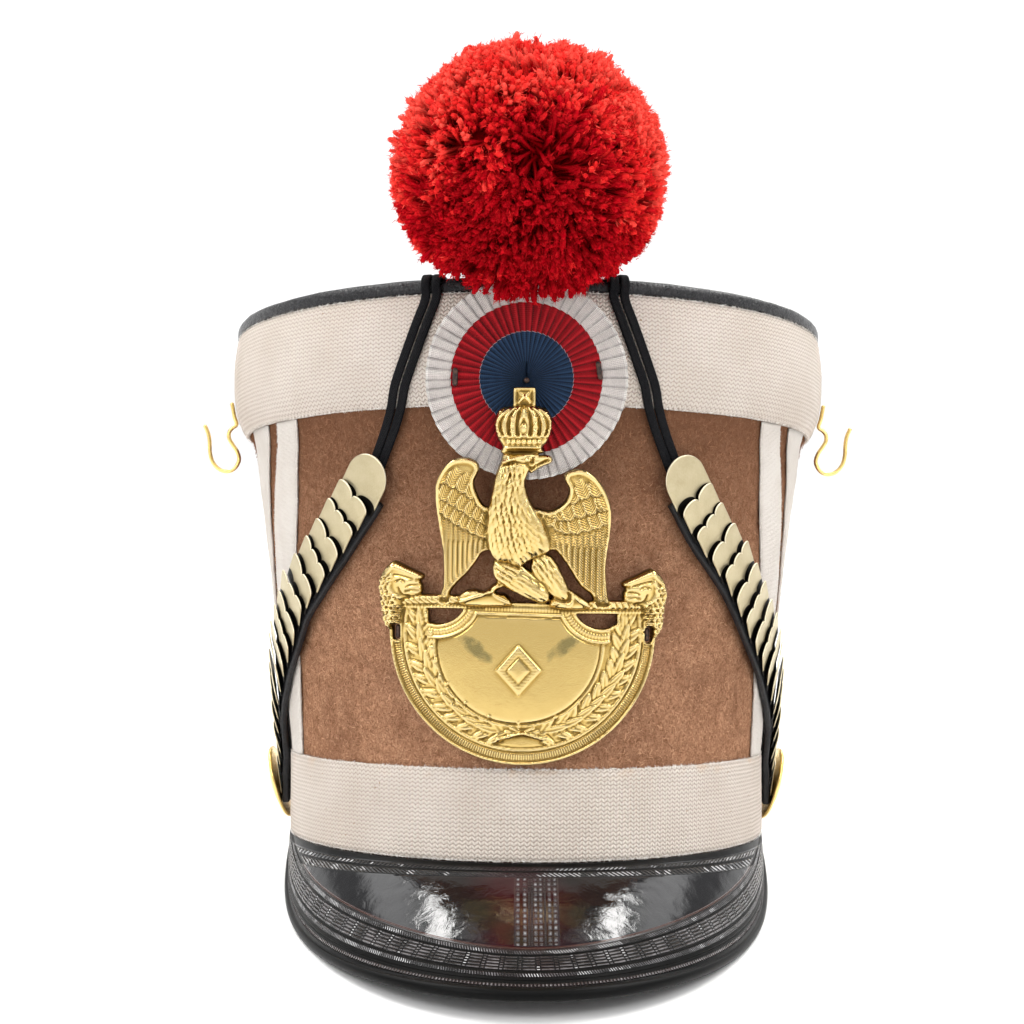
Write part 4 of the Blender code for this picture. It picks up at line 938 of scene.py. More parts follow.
# Left, right, lower and upper limit of the plate's mesh, and of the raster, which reaches further.
PLATE_BOX = (-49.0, 49.0, 31.0, 153.8)
RASTER_BOX = (-49.4, 49.4, 30.6, 154.2)
# The shield: height of its disc's middle and of its upper edge, and how far its field is turned.
SHIELD_MIDDLE = 75.0
SHIELD_TOP = 84.0
SHIELD_RADIUS = 43.4
SHIELD_TURN = math.radians(-1.6)

# Outlines of the plate's parts: x and z from the shield's middle line.
BODY = (
    (-6, 133.2), (-6.9, 130.9), (-7.6, 128.7), (-9, 125.5), (-9.7, 122.3), (-10.6, 118.4), (-11.3, 114.5),
    (-11.6, 110.7), (-11.6, 106.8), (-11.1, 103), (-9.9, 99.8), (-8, 97.8), (-4.4, 97.5), (-1.1, 96.2),
    (0.9, 97.5), (3.5, 99.1), (6.8, 100.4), (8.7, 101.7), (8.7, 104.3), (7.8, 108.1), (6.4, 111.3),
    (4.8, 113.9), (2.5, 117.1), (1.2, 120.3), (0.7, 123.5), (1.5, 125.8), (2.8, 128), (4.2, 130),
    (5.1, 131.6), (3.5, 133.2), (-1.1, 133.5),
)
BEAK = (
    (3, 130.9), (4.8, 131.6), (7.1, 131.8), (8.7, 131.4), (9.3, 130.3), (8.7, 129.2), (6.8, 128.4),
    (4.8, 127.5), (2.5, 126), (1.9, 126.4), (2.2, 128), (2.5, 129.7),
)
LEFT_THIGH = (
    (-9, 99.1), (-9.7, 97.2), (-9.5, 94), (-8.3, 91.4), (-5.7, 89.5), (-1.7, 87.5), (2.2, 85.6), (5.5, 84.6),
    (8.1, 85), (8.7, 86.9), (7.4, 90.1), (4.8, 92.7), (2.2, 95.2), (-0.4, 97.2), (-4.4, 98.5), (-7, 99.4),
)
RIGHT_THIGH = (
    (3.5, 99.8), (2.5, 97.8), (2.8, 94.6), (4.8, 91.4), (7.4, 88.8), (10.1, 86.2), (12.7, 85), (15, 85.6),
    (15.3, 87.5), (14.3, 90.7), (12.4, 94.6), (10.7, 97.8), (8.7, 100.1), (6.1, 100.7),
)
LEFT_WING = (
    (-28.3, 119.7), (-28, 123.5), (-26, 127.4), (-23.4, 130), (-20.1, 130.9), (-16.8, 130.6), (-14.5, 129),
    (-14.2, 126.8), (-15.2, 124.8), (-15.8, 122.9), (-14.9, 119.7), (-12.9, 116.2), (-9, 113.9),
    (-8, 106.8), (-9, 102.3), (-12.9, 101), (-14.2, 99.1), (-16.5, 95.9), (-18.1, 94), (-20.8, 91.4),
    (-23.4, 88.2), (-23.7, 85.2), (-26.8, 85.2), (-25.7, 91.4), (-25.7, 97.8), (-26.3, 104.3),
    (-27.3, 110.7), (-28.1, 115.8),
)
RIGHT_WING = (
    (1.5, 114.5), (8.1, 114.2), (11.4, 115.5), (13.7, 117.8), (14.6, 121), (13.3, 123.5), (13, 125.5),
    (14.6, 126.8), (17.9, 127.4), (21.2, 126.4), (24.5, 123.5), (27.1, 119), (28.4, 113.9), (28.1, 108.1),
    (27.4, 102.3), (26.8, 95.9), (27.4, 88.2), (27.8, 84), (23.8, 84), (21.9, 87.5), (18.6, 90.1),
    (16, 94), (14, 97.2), (12, 99.8), (10.1, 101.7), (5.4, 101.7),
)
CROWN = (
    (3.9, 147.3), (7.4, 146.1), (8.9, 142.8), (8.7, 139), (7.4, 135.8), (5.8, 134.2), (5.6, 132.2),
    (-6.5, 132.2), (-6.7, 134.5), (-8.3, 137.1), (-9.3, 140.9), (-8.8, 144.1), (-7.3, 146.4), (-3.4, 147.3),
    (0.2, 147.8),
)
FINIAL = ((-3.4, 153.1), (3.8, 153.1), (3.8, 146.6), (-3.4, 146.6))
LION = (
    (-42.6, 98.4), (-39.9, 97.6), (-36.2, 95.8), (-32.4, 94.0), (-32.2, 92.6), (-33.2, 91.6), (-32.6, 90.2),
    (-32.8, 88.0), (-35.0, 86.9), (-38, 86), (-39.0, 83.4), (-39.6, 78.8), (-42.2, 75.4), (-44.8, 77.4),
    (-46.1, 83.2), (-46.8, 90.2), (-45.6, 95.7),
)
LION_DROP = 2.3
# Slots at the ends of the ribbed ring: left, right, lower and upper edge.
SLOTS = ((-42.4, -39.9, 72.3, 77.9), (39.8, 42.3, 71.6, 77.2))
FEET = (
    ((-20.6, 86.6), (-18.6, 88.6), (-15.5, 89.2), (-12.4, 88.6), (-9.6, 90.8), (-6.2, 92.4), (-5.4, 90.6),
     (-8.5, 88.2), (-5.6, 87.6), (-3.6, 85.6), (-4.2, 83.6), (-12.0, 83.4), (-19.6, 84.0)),
    ((8.4, 83.6), (9.0, 86.2), (12.4, 87.4), (14.0, 89.4), (16.6, 88.4), (20.6, 85.6), (21.6, 83.4),
     (18.0, 82.4), (12.0, 82.6)),
)
BARS = (
    ((-41.0, 87.9), (-20.0, 87.2), (-12.0, 85.6), (-12.0, 82.4), (-30.0, 82.6), (-41.0, 83.2)),
    ((12.0, 84.6), (20.0, 85.4), (41.0, 85.9), (41.0, 81.0), (30.0, 80.9), (12.0, 81.0)),
)
# Rows of covert feathers, the line their tips follow, from the lowest row up; then the long feathers.
LEFT_ROWS = (
    ((-27.5, 114.4), (-23.4, 111.2), (-18.1, 108.0), (-10.9, 104.8)),
    ((-27.6, 118.6), (-22.7, 115.9), (-17.5, 112.6), (-11.2, 109.2)),
    ((-26.7, 122.8), (-22.1, 121.2), (-17.5, 118.5), (-12.6, 114.0)),
)
RIGHT_ROWS = (
    ((7.1, 109.6), (14.0, 107.0), (19.9, 107.7), (27.4, 110.2)),
    ((6.4, 112.9), (12.7, 111.2), (18.6, 112.4), (27.3, 115.0)),
    ((10.0, 115.3), (15.3, 116.3), (19.2, 118.0), (26.8, 119.4)),
)
LEFT_LONG = (
    ((-26.7, 114.3), (-22.7, 111.1), (-17.5, 108.5), (-10.6, 106.6)),
    ((-26.3, 86.2), (-25, 86.0), (-23.9, 87.4), (-22.2, 89.6), (-20.8, 91.2), (-19.1, 93.0), (-17.6, 94.5),
     (-16.2, 96.4), (-14.5, 98.6), (-13, 100.2), (-11.0, 101.6)),
)
RIGHT_LONG = (
    ((7.7, 108.2), (14.0, 107.0), (19.9, 107.6), (27.2, 109.8)),
    ((8.9, 101.5), (10.7, 100.0), (12.4, 98.4), (14, 96.5), (15.6, 94.2), (17.3, 91.9), (18.9, 89.7),
     (20.9, 88.0), (22.8, 86.6), (24.8, 85.0), (27.0, 84.6)),
)


def distance_squared(one, other, x, z):
    """Square of the distance of points to the line between two others."""
    dx, dz = other - one
    from_x, from_z = x - one[0], z - one[1]
    share = np.clip((from_x * dx + from_z * dz) / (dx * dx + dz * dz + 1e-12), 0, 1)
    return (from_x - share * dx) ** 2 + (from_z - share * dz) ** 2


def outline_distance(loop, x, z):
    """Distance of points to a closed outline, positive inside it."""
    far = np.full(x.shape, 1e9)
    odd = np.zeros(x.shape, bool)
    for one, other in zip(loop, np.roll(loop, -1, axis=0)):
        far = np.minimum(far, distance_squared(one, other, x, z))
        if one[1] != other[1]:
            cut = one[0] + (z - one[1]) / (other[1] - one[1]) * (other[0] - one[0])
            odd ^= ((one[1] > z) != (other[1] > z)) & (x < cut)
    return np.where(odd, 1.0, -1.0) * np.sqrt(far)


def rounded_loop(points):
    """An outline with its corners rounded."""
    return smooth_path(points, 110, closed=True)


def dome(distance, width):
    """0 at an edge, rising to 1 like a quarter circle over a width."""
    return np.sqrt(1.0 - (1.0 - np.clip(distance / width, 0, 1)) ** 2)


def ridge(distance, width):
    """A round bead whose middle is at distance 0."""
    return np.sqrt(np.clip(1.0 - (distance / width) ** 2, 0, 1))


class Relief:
    """The plate's face on a fine raster: its outline as a signed distance, heights, and barb lines."""

    def __init__(self):
        left, right, low, high = RASTER_BOX
        self.xs = np.arange(left, right, RASTER)
        self.zs = np.arange(low, high, RASTER)
        self.x, self.z = np.meshgrid(self.xs, self.zs)
        self.inside = np.full(self.x.shape, -9.0)
        self.base = np.zeros(self.x.shape)
        self.height = np.zeros(self.x.shape)
        self.phase = np.zeros(self.x.shape)
        self.barbs = np.zeros(self.x.shape)

    def window(self, points, margin):
        """The part of the raster round some points."""
        low, high = np.min(points, axis=0) - margin, np.max(points, axis=0) + margin
        cols = slice(*np.searchsorted(self.xs, (low[0], high[0])))
        rows = slice(*np.searchsorted(self.zs, (low[1], high[1])))
        return rows, cols

    def mass(self, points, height, width, foot=0.0, rounded=True):
        """A rounded mass over whatever lies under it; gives its part of the raster and where it is."""
        loop = rounded_loop(points) if rounded else np.array(points, float)
        area = self.window(loop, 3.0)
        distance = outline_distance(loop, self.x[area], self.z[area])
        self.inside[area] = np.maximum(self.inside[area], distance)
        value = foot + height * dome(distance, width)
        within = distance > 0
        for field in (self.base, self.height):
            field[area] = np.where(within, value, field[area])
        self.barbs[area] = np.where(within, 0.0, self.barbs[area])
        kept = np.zeros(self.x.shape, bool)
        kept[area] = within
        return area, distance, kept

    def feather(self, root, tip, width, rise, limit, barb=1.0, point=0.9, rib=0.25, rim=0.0, groove=0.0):
        """A feather or leaf laid from its root to its tip, higher towards the tip, in a cut groove."""
        root, tip = np.array(root, float), np.array(tip, float)
        length = np.linalg.norm(tip - root)
        along = (tip - root) / length
        area = self.window(np.array((root, tip)), width)
        dx, dz = self.x[area] - root[0], self.z[area] - root[1]
        t = (dx * along[0] + dz * along[1]) / length
        s = (dz * along[0] - dx * along[1]) / (width / 2)
        t_in = np.clip(t, 0, 1)
        taper = np.where(t_in > 1 - point, np.sqrt(np.clip(1 - ((t_in - 1 + point) / point) ** 2, 0, 1)), 1.0)
        taper *= 0.55 + 0.45 * np.clip(t_in / 0.35, 0, 1)
        side = np.abs(s) / np.maximum(taper, 0.05)
        within = (t >= 0) & (t <= 1) & (side < 1) & limit[area]
        bulge = rise * (0.30 + 0.70 * t_in) * (0.35 + 0.65 * np.sqrt(np.clip(1 - side ** 2, 0, 1)))
        bulge -= rise * rib * np.exp(-(s / 0.16) ** 2) * (t < 0.92)
        bulge += rim * np.exp(-((side - 0.86) / 0.14) ** 2) * (t_in > 0.3)
        around = (t > 0.25) & (t < 1.06) & (side < 1.0 + 0.9 / width) & ~within & limit[area]
        self.height[area] -= groove * around
        self.height[area] = np.where(within, self.base[area] + bulge, self.height[area])
        self.phase[area] = np.where(within, t * length + np.abs(s) * width * 0.45, self.phase[area])
        self.barbs[area] = np.where(within, barb, self.barbs[area])

    def line(self, points, width, rise, rounded=True):
        """A raised line, or a cut one where rise is below 0."""
        route = smooth_path(points, 40) if rounded else np.array(points, float)
        area = self.window(route, width + 1)
        x, z = self.x[area], self.z[area]
        legs = [distance_squared(one, other, x, z) for one, other in zip(route, route[1:])]
        far = np.sqrt(np.min(legs, axis=0))
        self.height[area] += rise * ridge(far, width / 2)
        self.barbs[area] = np.where(far < width / 2, 0.0, self.barbs[area])

    def knob(self, x, z, radius, rise, tall=1.0):
        """A round or upright oval bump, or a hollow where rise is below 0."""
        area = self.window(np.array(((x, z), (x, z))), radius * max(1.0, tall) + 1)
        far = np.hypot(self.x[area] - x, (self.z[area] - z) / tall)
        self.height[area] += rise * ridge(far, radius)

    def sample(self, field, x, z):
        """A field's values at any points."""
        column = np.clip((x - self.xs[0]) / RASTER, 0, len(self.xs) - 1.001)
        row = np.clip((z - self.zs[0]) / RASTER, 0, len(self.zs) - 1.001)
        c, r = column.astype(int), row.astype(int)
        u, v = column - c, row - r
        return ((field[r, c] * (1 - u) + field[r, c + 1] * u) * (1 - v)
                + (field[r + 1, c] * (1 - u) + field[r + 1, c + 1] * u) * v)

    def soften(self, field, size):
        """Blurs a field over a distance in mm."""
        rows, cols = field.shape
        fz = np.fft.fftfreq(rows, RASTER)[:, None]
        fx = np.fft.rfftfreq(cols, RASTER)
        kernel = np.exp(-2 * (math.pi * size) ** 2 * (fx ** 2 + fz ** 2))
        return np.fft.irfft2(np.fft.rfft2(field) * kernel, s=field.shape)


def along_line(points, share):
    """A point part of the way along a line, and its direction."""
    route = smooth_path(points, 101)
    spot = min(100.0, max(0.0, share * 100.0))
    index = min(99, int(spot))
    return (route[index] + (route[index + 1] - route[index]) * (spot - index),
            unit(route[min(100, index + 2)] - route[max(0, index - 2)]))


def carve_wing(relief, outline, rows, long, dice):
    """Long feathers first, then three rows of coverts from the lowest up."""
    kept = relief.mass(outline, 1.1, 3.0)[2]
    roots, tips = long
    for number, tip in enumerate(tips):
        root = along_line(roots, number / 10)[0]
        relief.feather(root, tip, 2.9, 0.7, kept, point=0.14, rib=0.4, rim=0.3, groove=0.3)
    for row, line in enumerate(rows):
        count = 6 - (row == 2)
        for number in range(count + 1):
            share = (number + 0.5 * (row % 2)) / count
            tip, run = along_line(line, min(1.0, share))
            down = np.array((run[1], -run[0]))
            down = unit(down * np.sign(-down[1]) + 0.25 * dice.normal(size=2) * 0.4)
            relief.feather(tip - down * 6.6, tip, 4.6, 0.45, kept, barb=0.75, point=0.42, rib=0.12,
                           rim=0.75, groove=0.12)


def rolled_edge(relief, area, distance, top, low):
    """A smooth roll just inside the outline, thinner further down."""
    z = relief.z[area]
    width = 0.75 + 0.75 * np.clip((z - low) / (top - low), 0, 1)
    roll = 1.1 * ridge(distance - width * 0.62, width * 0.62) * (distance > 0)
    strong = np.clip((z - low + 6.0) / 6.0, 0.25, 1)
    height = relief.height[area]
    rolled = np.maximum(height * (1 - 0.5 * strong), relief.base[area] * 0.6 + roll * strong)
    relief.height[area] = np.where(roll > 0, rolled, height)
    relief.barbs[area] = np.where(distance < width * 1.2, 0.0, relief.barbs[area])


def carve_eagle(relief):
    """Wings, thighs, body, head and crown."""
    dice = np.random.default_rng(7)
    for outline, rows, long, top, low in ((LEFT_WING, LEFT_ROWS, LEFT_LONG, 131.0, 108.0),
                                          (RIGHT_WING, RIGHT_ROWS, RIGHT_LONG, 127.5, 106.0)):
        carve_wing(relief, outline, rows, long, dice)
        loop = rounded_loop(outline)
        area = relief.window(loop, 3.0)
        rolled_edge(relief, area, outline_distance(loop, relief.x[area], relief.z[area]), top, low)

    for outline, lean, height in ((RIGHT_THIGH, (0.55, -0.83), 2.3), (LEFT_THIGH, (0.80, -0.60), 2.7)):
        kept = relief.mass(outline, height, 5.5, 0.7)[2]
        middle = np.mean(outline, axis=0)
        run = unit(np.array(lean))
        side = np.array((-run[1], run[0]))
        spots = [(a, b) for a in np.arange(11.0, -12.0, -3.0) for b in np.arange(-8.5, 8.6, 1.75)]
        for a, b in spots:
            tip = middle + run * (a + dice.uniform(-1.0, 1.0)) + side * (b + dice.uniform(-0.3, 0.3))
            aim = unit(run + side * 0.035 * b)
            deep = math.exp(-(((a + 4.0) / 4.5) ** 2 + ((b - 0.5) / 3.2) ** 2))
            relief.feather(tip - aim * 6.4, tip, 1.9, 0.25 + 0.6 * deep, kept, 0.0, groove=0.12 + 0.75 * deep)

    kept = relief.mass(BODY, 3.5, 7.0, 0.8)[2]
    spine = ((-1.5, 133.0), (-3.0, 124.0), (-4.4, 115.0), (-3.2, 106.0), (-0.6, 96.0))
    widths = np.array(((133.0, 5.5), (124.0, 5.0), (115.0, 7.5), (106.0, 9.8), (98.0, 7.0)))[::-1]
    for row in range(14):
        share = 0.98 - 0.064 * row
        centre, run = along_line(spine, share)
        half = np.interp(centre[1], widths[:, 0], widths[:, 1])
        size = np.interp(centre[1], (98.0, 112.0, 130.0), (2.1, 2.2, 1.5))
        count = max(3, int(round(2 * half / (size * 0.86))))
        side = np.array((-run[1], run[0]))
        for number in range(count + 1):
            b = -half + 2 * half * (number + 0.5 * (row % 2)) / count
            tip = centre + side * b + run * dice.uniform(-0.9, 0.9)
            aim = unit(run + side * (0.05 * b + 0.12 * dice.normal()))
            deep = math.exp(-((b / half + 0.05) / 0.55) ** 2) * np.interp(tip[1], (100.0, 106.0), (0.25, 1.0))
            deep *= 0.45 + 0.55 * (math.sin(tip[1] * 0.62 + 0.4) > -0.3)
            relief.feather(tip - aim * size * 3.2, tip, size * 1.15, 0.35 + 0.5 * deep, kept, 0.0,
                           rib=0.25 * deep, groove=0.12 + 0.8 * deep)
    carve_head(relief)
    carve_crown(relief)


def carve_head(relief):
    """Brow, eye, cheek and beak."""
    loop = rounded_loop(((-6.2, 133.0), (-7.4, 129.2), (-3.0, 129.6), (0.2, 128.4), (1.6, 126.6),
                         (3.4, 129.0), (5.0, 131.6), (3.4, 133.4)))
    face = outline_distance(loop, relief.x, relief.z)
    smooth = np.clip(face / 0.5, 0, 1)
    relief.height += (relief.base + 0.35 - relief.height) * smooth
    relief.barbs *= 1 - smooth
    relief.mass(BEAK, 1.5, 1.8, 1.9)
    relief.line(((-6.8, 129.4), (-3.6, 130.6), (0.4, 132.0), (3.6, 131.9), (5.0, 131.4)), 1.1, 0.95)
    relief.line(((-6.9, 128.6), (-2.8, 129.5), (0.6, 129.1), (2.4, 127.6)), 0.9, -0.8)
    relief.line(((3.0, 127.7), (5.2, 129.2), (7.4, 130.2), (9.0, 130.6)), 0.8, -1.3)
    relief.line(((3.4, 131.0), (6.2, 131.4), (8.9, 130.9)), 0.8, 0.6)
    relief.knob(1.6, 130.3, 1.5, -0.7)
    relief.knob(1.6, 130.3, 0.9, 1.1)
    relief.line(((2.9, 129.7), (3.2, 128.2), (2.7, 127.2)), 0.8, -0.7)


def carve_crown(relief):
    """The crown's lobes and arches, its base band of ovals, and the square finial."""
    area, distance, _ = relief.mass(FINIAL, 0.5, 0.7, 0.5, rounded=False)
    x, z = relief.x[area], relief.z[area]
    u, v = np.abs(x - 0.2) / 3.0, np.abs(z - 150.1) / 2.6
    inner = np.maximum(u, v)
    star = 0.25 + 0.75 * np.clip(1 - inner, 0, 1) + 0.35 * ridge(u - v, 0.16) * (inner < 0.95)
    relief.height[area] = np.where(distance > 0.75, star, relief.height[area])
    relief.height[area] += 0.5 * ridge(distance - 0.4, 0.45)
    relief.line(((-1.6, 147.2), (-1.1, 149.0), (0.2, 149.9), (1.5, 149.0), (2.0, 147.2)), 0.6, 0.5)

    area, distance, _ = relief.mass(CROWN, 2.1, 4.6, 0.8)
    x, z = relief.x[area], relief.z[area]
    within = distance > 0
    rise = np.clip((z - 136.8) / 10.6, 0, 1)
    spread = 1.0 + 0.28 * np.sin(np.pi * np.clip(rise * 0.92 + 0.08, 0, 1)) - 0.55 * rise ** 4
    across = (x - 0.1) / spread
    height = relief.height[area]
    lobes = 1.25 * ridge(across, 1.5)
    for middle, half in ((2.85, 0.95), (5.0, 0.85), (6.75, 0.65)):
        lobes += 1.25 * (ridge(across - middle, half) + ridge(across + middle, half))
    upper = within & (z > 137.4)
    height = np.where(upper, height - 1.1 + lobes * (0.3 + 0.7 * np.clip((147.6 - z) / 1.5, 0, 1)), height)
    band = within & (z <= 137.4)
    height = np.where(band, height - 0.5, height)
    height = height + within * (0.7 * ridge(z - 137.6, 0.45) + 0.7 * ridge(z - 134.2, 0.45))
    relief.height[area] = height
    for number in range(7):
        relief.knob(-5.0 + 1.68 * number, 135.9, 0.75, 1.0, 1.3)
    for number in range(9):
        z = 138.4 + 1.02 * number
        out = 7.6 + 1.1 * math.sin(math.pi * min(1.0, number / 8.0 + 0.1))
        for spot in (-out + 0.1, out - 0.2):
            relief.knob(spot, z, 0.45, 0.8)
    relief.knob(0.0, 140.9, 1.15, -1.0, 2.3)
    relief.knob(0.0, 140.4, 0.85, 1.3, 1.9)
    for number in range(3):
        relief.knob(0.0, 143.9 + 1.1 * number, 0.55 - 0.06 * number, 0.8)
        for spot in (-3.9, 3.9):
            relief.knob(spot, 139.2 + 2.2 * number, 0.5, 0.9)


def carve_shield(relief):
    """The shield: polished field in its frame, laurel wreath, ribbed ring and outer bead."""
    x, z = relief.x, relief.z
    radius = np.hypot(x, z - SHIELD_MIDDLE)
    cosine, sine = math.cos(SHIELD_TURN), math.sin(SHIELD_TURN)
    turned_x = (x + 1.35) * cosine + (z - 72.0) * sine
    turned_z = 72.0 - (x + 1.35) * sine + (z - 72.0) * cosine
    across = np.abs(turned_x) - 26.35
    shoulder = np.hypot(across, turned_z - 86.2)
    # The disc ends at the bar, and is open between each shoulder's moulding, the bar and the wreath.
    bar_low = np.where(x < 0, 83.3, 82.3)
    top = np.where(np.abs(x) < 20.0, 84.7 - turned_z, bar_low + 1.6 - z)
    disc = np.minimum(SHIELD_RADIUS - radius, top)
    gap = np.minimum(np.minimum(9.15 - shoulder, bar_low - z), 30.6 - np.abs(x))
    inside = np.minimum(disc, -gap)
    relief.inside = np.maximum(relief.inside, inside)
    within = inside > 0

    field_low = 26.7 - np.hypot(turned_x, np.minimum(turned_z - 71.8, 0.0))
    corner = np.minimum(79.9 - turned_z, shoulder - 14.5)
    field = np.minimum(field_low, corner)
    height = np.full(x.shape, 0.45)
    swell = 1.7 * np.clip(1 - (x / 30.0) ** 2 - ((z - 62.0) / 26.0) ** 2, 0, 1) ** 0.8
    height = np.where(field > 0, 0.15 + swell, height)
    frame_zone = (corner <= 0) & (turned_z > 71.0) & (across < 3.2) & (field_low > -4.5)
    ring = 14.5 + corner
    swing = np.where(79.9 - turned_z < shoulder - 14.5, turned_x, 11.8 * np.arctan2(across, 86.2 - turned_z))
    teeth = np.abs(np.sin(np.pi * swing / 1.0))
    moulding = (0.5 + 0.75 * ridge(ring - 9.9, 0.6) + 0.85 * ridge(ring - 13.6, 0.6)
                + (0.3 + 0.5 * teeth) * ridge(ring - 11.8, 1.25))
    height = np.where(frame_zone, moulding, height)
    bead = np.where(turned_z < 71.8, np.hypot(turned_x, turned_z - 71.8), np.abs(turned_x)) - 27.4
    beaded = within & ~frame_zone & (turned_z < 75.0)
    height = height + beaded * (0.45 * ridge(bead, 0.55) - 0.5 * ridge(bead + 0.75, 0.3))
    # Rings round the disc: flat ground first, then beads and cuts at their radii.
    below = z < SHIELD_TOP
    height = np.where(below & (radius > 37.6), np.where(radius > 39.3, 0.85, 0.75), height)
    for middle, half, rise in ((39.25, 0.32, -0.75), (42.25, 0.3, -0.65), (42.9, 0.5, 0.2),
                               (37.7, 0.3, -0.5)):
        height = height + below * rise * ridge(radius - middle, half)
    for target in (relief.base, relief.height):
        target[within] = height[within]
    relief.barbs[within] = 0.0

    wreath = within & (radius > 28.4) & (radius < 37.9) & (field < -0.9) & ~frame_zone
    dice = np.random.default_rng(17)
    for side in (-1, 1):
        def spot(angle, far, side=side):
            return np.array((side * far * math.sin(angle), SHIELD_MIDDLE - far * math.cos(angle)))

        stem = [spot(a, 33.2 + 0.5 * math.sin(a * 9)) for a in np.linspace(-0.16, 1.70, 30)]
        relief.line(stem, 0.8, 0.5)
        for number in reversed(range(11)):
            angle = 0.15 + 0.148 * number
            for layer, (away, lean, long) in enumerate(((1, 1.0, 7.4), (-1, 0.9, 6.6), (0, 0.12, 7.6))):
                start = angle + 0.05 * layer + dice.uniform(-0.015, 0.015)
                root = spot(start, 33.2 + 0.3 * away)
                run = unit(spot(start + 0.05, 33.2) - root)
                out = unit(root - np.array((0.0, SHIELD_MIDDLE)))
                aim = unit(run + out * (away * lean + 0.12 * dice.normal()))
                relief.feather(root, root + aim * long, 3.1 - 0.4 * (layer == 2), 0.75, wreath, 0.0,
                               point=0.85, rib=0.5, groove=0.35)
            if number % 2:
                relief.line([spot(angle + 0.02, 33.4), spot(angle + 0.06, 29.6)], 0.35, -0.5)
                relief.knob(*spot(angle + 0.07, 29.6), 0.55, 0.8)
    # The bow that ties it.
    for side in (-1, 1):
        relief.line(((side * 8.0, 40.2), (side * 3.0, 41.2), (side * -3.6, 43.8)), 0.9, 0.7)
    relief.line(((-1.2, 45.4), (-1.0, 43.6)), 0.8, 0.8, rounded=False)


def carve_bars(relief):
    """The twisted bar between the lions, and the eagle's feet on it."""
    for outline, sign in zip(BARS, (-1, 1)):
        area, _, kept = relief.mass(outline, 0.4, 1.0, 0.3, rounded=False)
        x, z = relief.x[area], relief.z[area]
        middle = 85.6 if sign < 0 else 83.6 + 0.01 * x
        rope = ridge(z - middle - 0.3, 1.8) * kept[area]
        twist = np.abs(np.sin(np.pi * (x * 0.92 + (z - middle) * (0.85 if sign < 0 else 0.25)) / 1.85))
        relief.height[area] = np.where(rope > 0, 0.5 + rope * (0.7 + 1.3 * twist ** 0.7), relief.height[area])
        low = ridge(z - middle + 2.2, 0.75) * kept[area]
        fine = np.abs(np.sin(np.pi * x / 1.1))
        relief.height[area] = np.where(low > 0, 0.4 + low * (0.3 + 0.7 * fine), relief.height[area])
    for outline in FEET:
        relief.mass(outline, 1.7, 1.7, 0.9)
    for toe in (((-7.2, 91.4), (-10.5, 88.6), (-15.5, 86.8), (-19.6, 85.4)),
                ((-10.5, 88.6), (-14.0, 88.8), (-18.6, 87.9)),
                ((-9.5, 88.6), (-7.0, 86.4), (-4.2, 84.9)), ((14.6, 88.8), (13.0, 86.2), (9.6, 84.6)),
                ((15.4, 88.4), (17.6, 86.0), (20.8, 83.9)), ((14.8, 88.6), (15.2, 85.8), (14.6, 83.4))):
        relief.line(toe, 1.5, 0.9)
        relief.line(toe[1:], 0.35, -0.3)


def carve_lions(relief):
    """A lion's head at each end of the bar, facing inwards."""
    dice = np.random.default_rng(27)
    for sign, drop in ((-1, 0.0), (1, LION_DROP)):
        def at(x, z, sign=sign, drop=drop):
            return (-x * sign, z - drop)

        relief.mass([at(x, z) for x, z in LION], 2.5, 5.6, 0.4)
        # Mane: small curls with dark eyes, larger down the cheek.
        for row in range(10):
            for column in range(5):
                x = -45.6 + 1.75 * column + 0.85 * (row % 2) + dice.uniform(-0.25, 0.25)
                z = 93.6 - 1.75 * row + dice.uniform(-0.25, 0.25)
                if x > (-42.2 if z > 88.0 else -39.6):
                    continue
                spin = dice.uniform(0, TAU) + 1.3 * np.arange(4)
                curl = [at(x + 0.85 * math.cos(t), z + 0.85 * math.sin(t)) for t in spin]
                relief.line(curl, 0.7, 0.55)
                relief.knob(*at(x, z), 0.42, -0.9)
        for lock, rise in ((((-44.9, 95.2), (-46.0, 92.0), (-45.7, 88.6)), 0.5),
                           (((-42.6, 96.6), (-44.4, 94.2), (-44.6, 91.6)), 0.5),
                           (((-42.8, 97.6), (-38.4, 96.2), (-32.8, 93.6)), 0.6),
                           (((-42.0, 94.8), (-42.8, 91.6), (-41.4, 88.4), (-39.4, 86.4)), 0.55)):
            relief.line([at(x, z) for x, z in lock], 1.3, rise)
        # Brow, eye, nostril and mouth.
        for cut in (((-41.2, 94.9), (-38.6, 94.2), (-35.0, 92.9)),
                    ((-40.4, 92.6), (-38.9, 93.0), (-37.6, 92.4)),
                    ((-34.2, 92.7), (-33.4, 92.2), (-32.6, 92.6)),
                    ((-37.0, 90.4), (-35.0, 90.9), (-32.8, 90.6)),
                    ((-37.6, 88.6), (-35.6, 89.2), (-32.8, 89.0)),
                    ((-39.6, 90.2), (-38.8, 88.0), (-36.4, 87.0))):
            relief.line([at(x, z) for x, z in cut], 0.6, -0.8)
        relief.knob(*at(-38.9, 92.3), 0.5, 0.4)


def carve_ornament(relief):
    """A plain lozenge with a hatched border in the middle of the field."""
    x, z = relief.x + 1.2, relief.z - 62.6
    lozenge = 8.4 - (np.abs(x) * 1.15 + np.abs(z))
    raised = 0.55 * np.clip(lozenge / 0.45, 0, 1)
    hatch = 0.22 * (np.abs(np.sin(np.pi * z / 0.95)) - 0.5) * (lozenge > 1.0) * (lozenge < 3.6)
    inner = 0.35 * dome(lozenge - 4.0, 3.5) - 0.3 * (lozenge > 3.6) * (lozenge < 4.1)
    relief.height += raised + hatch + inner * (lozenge > 3.6)


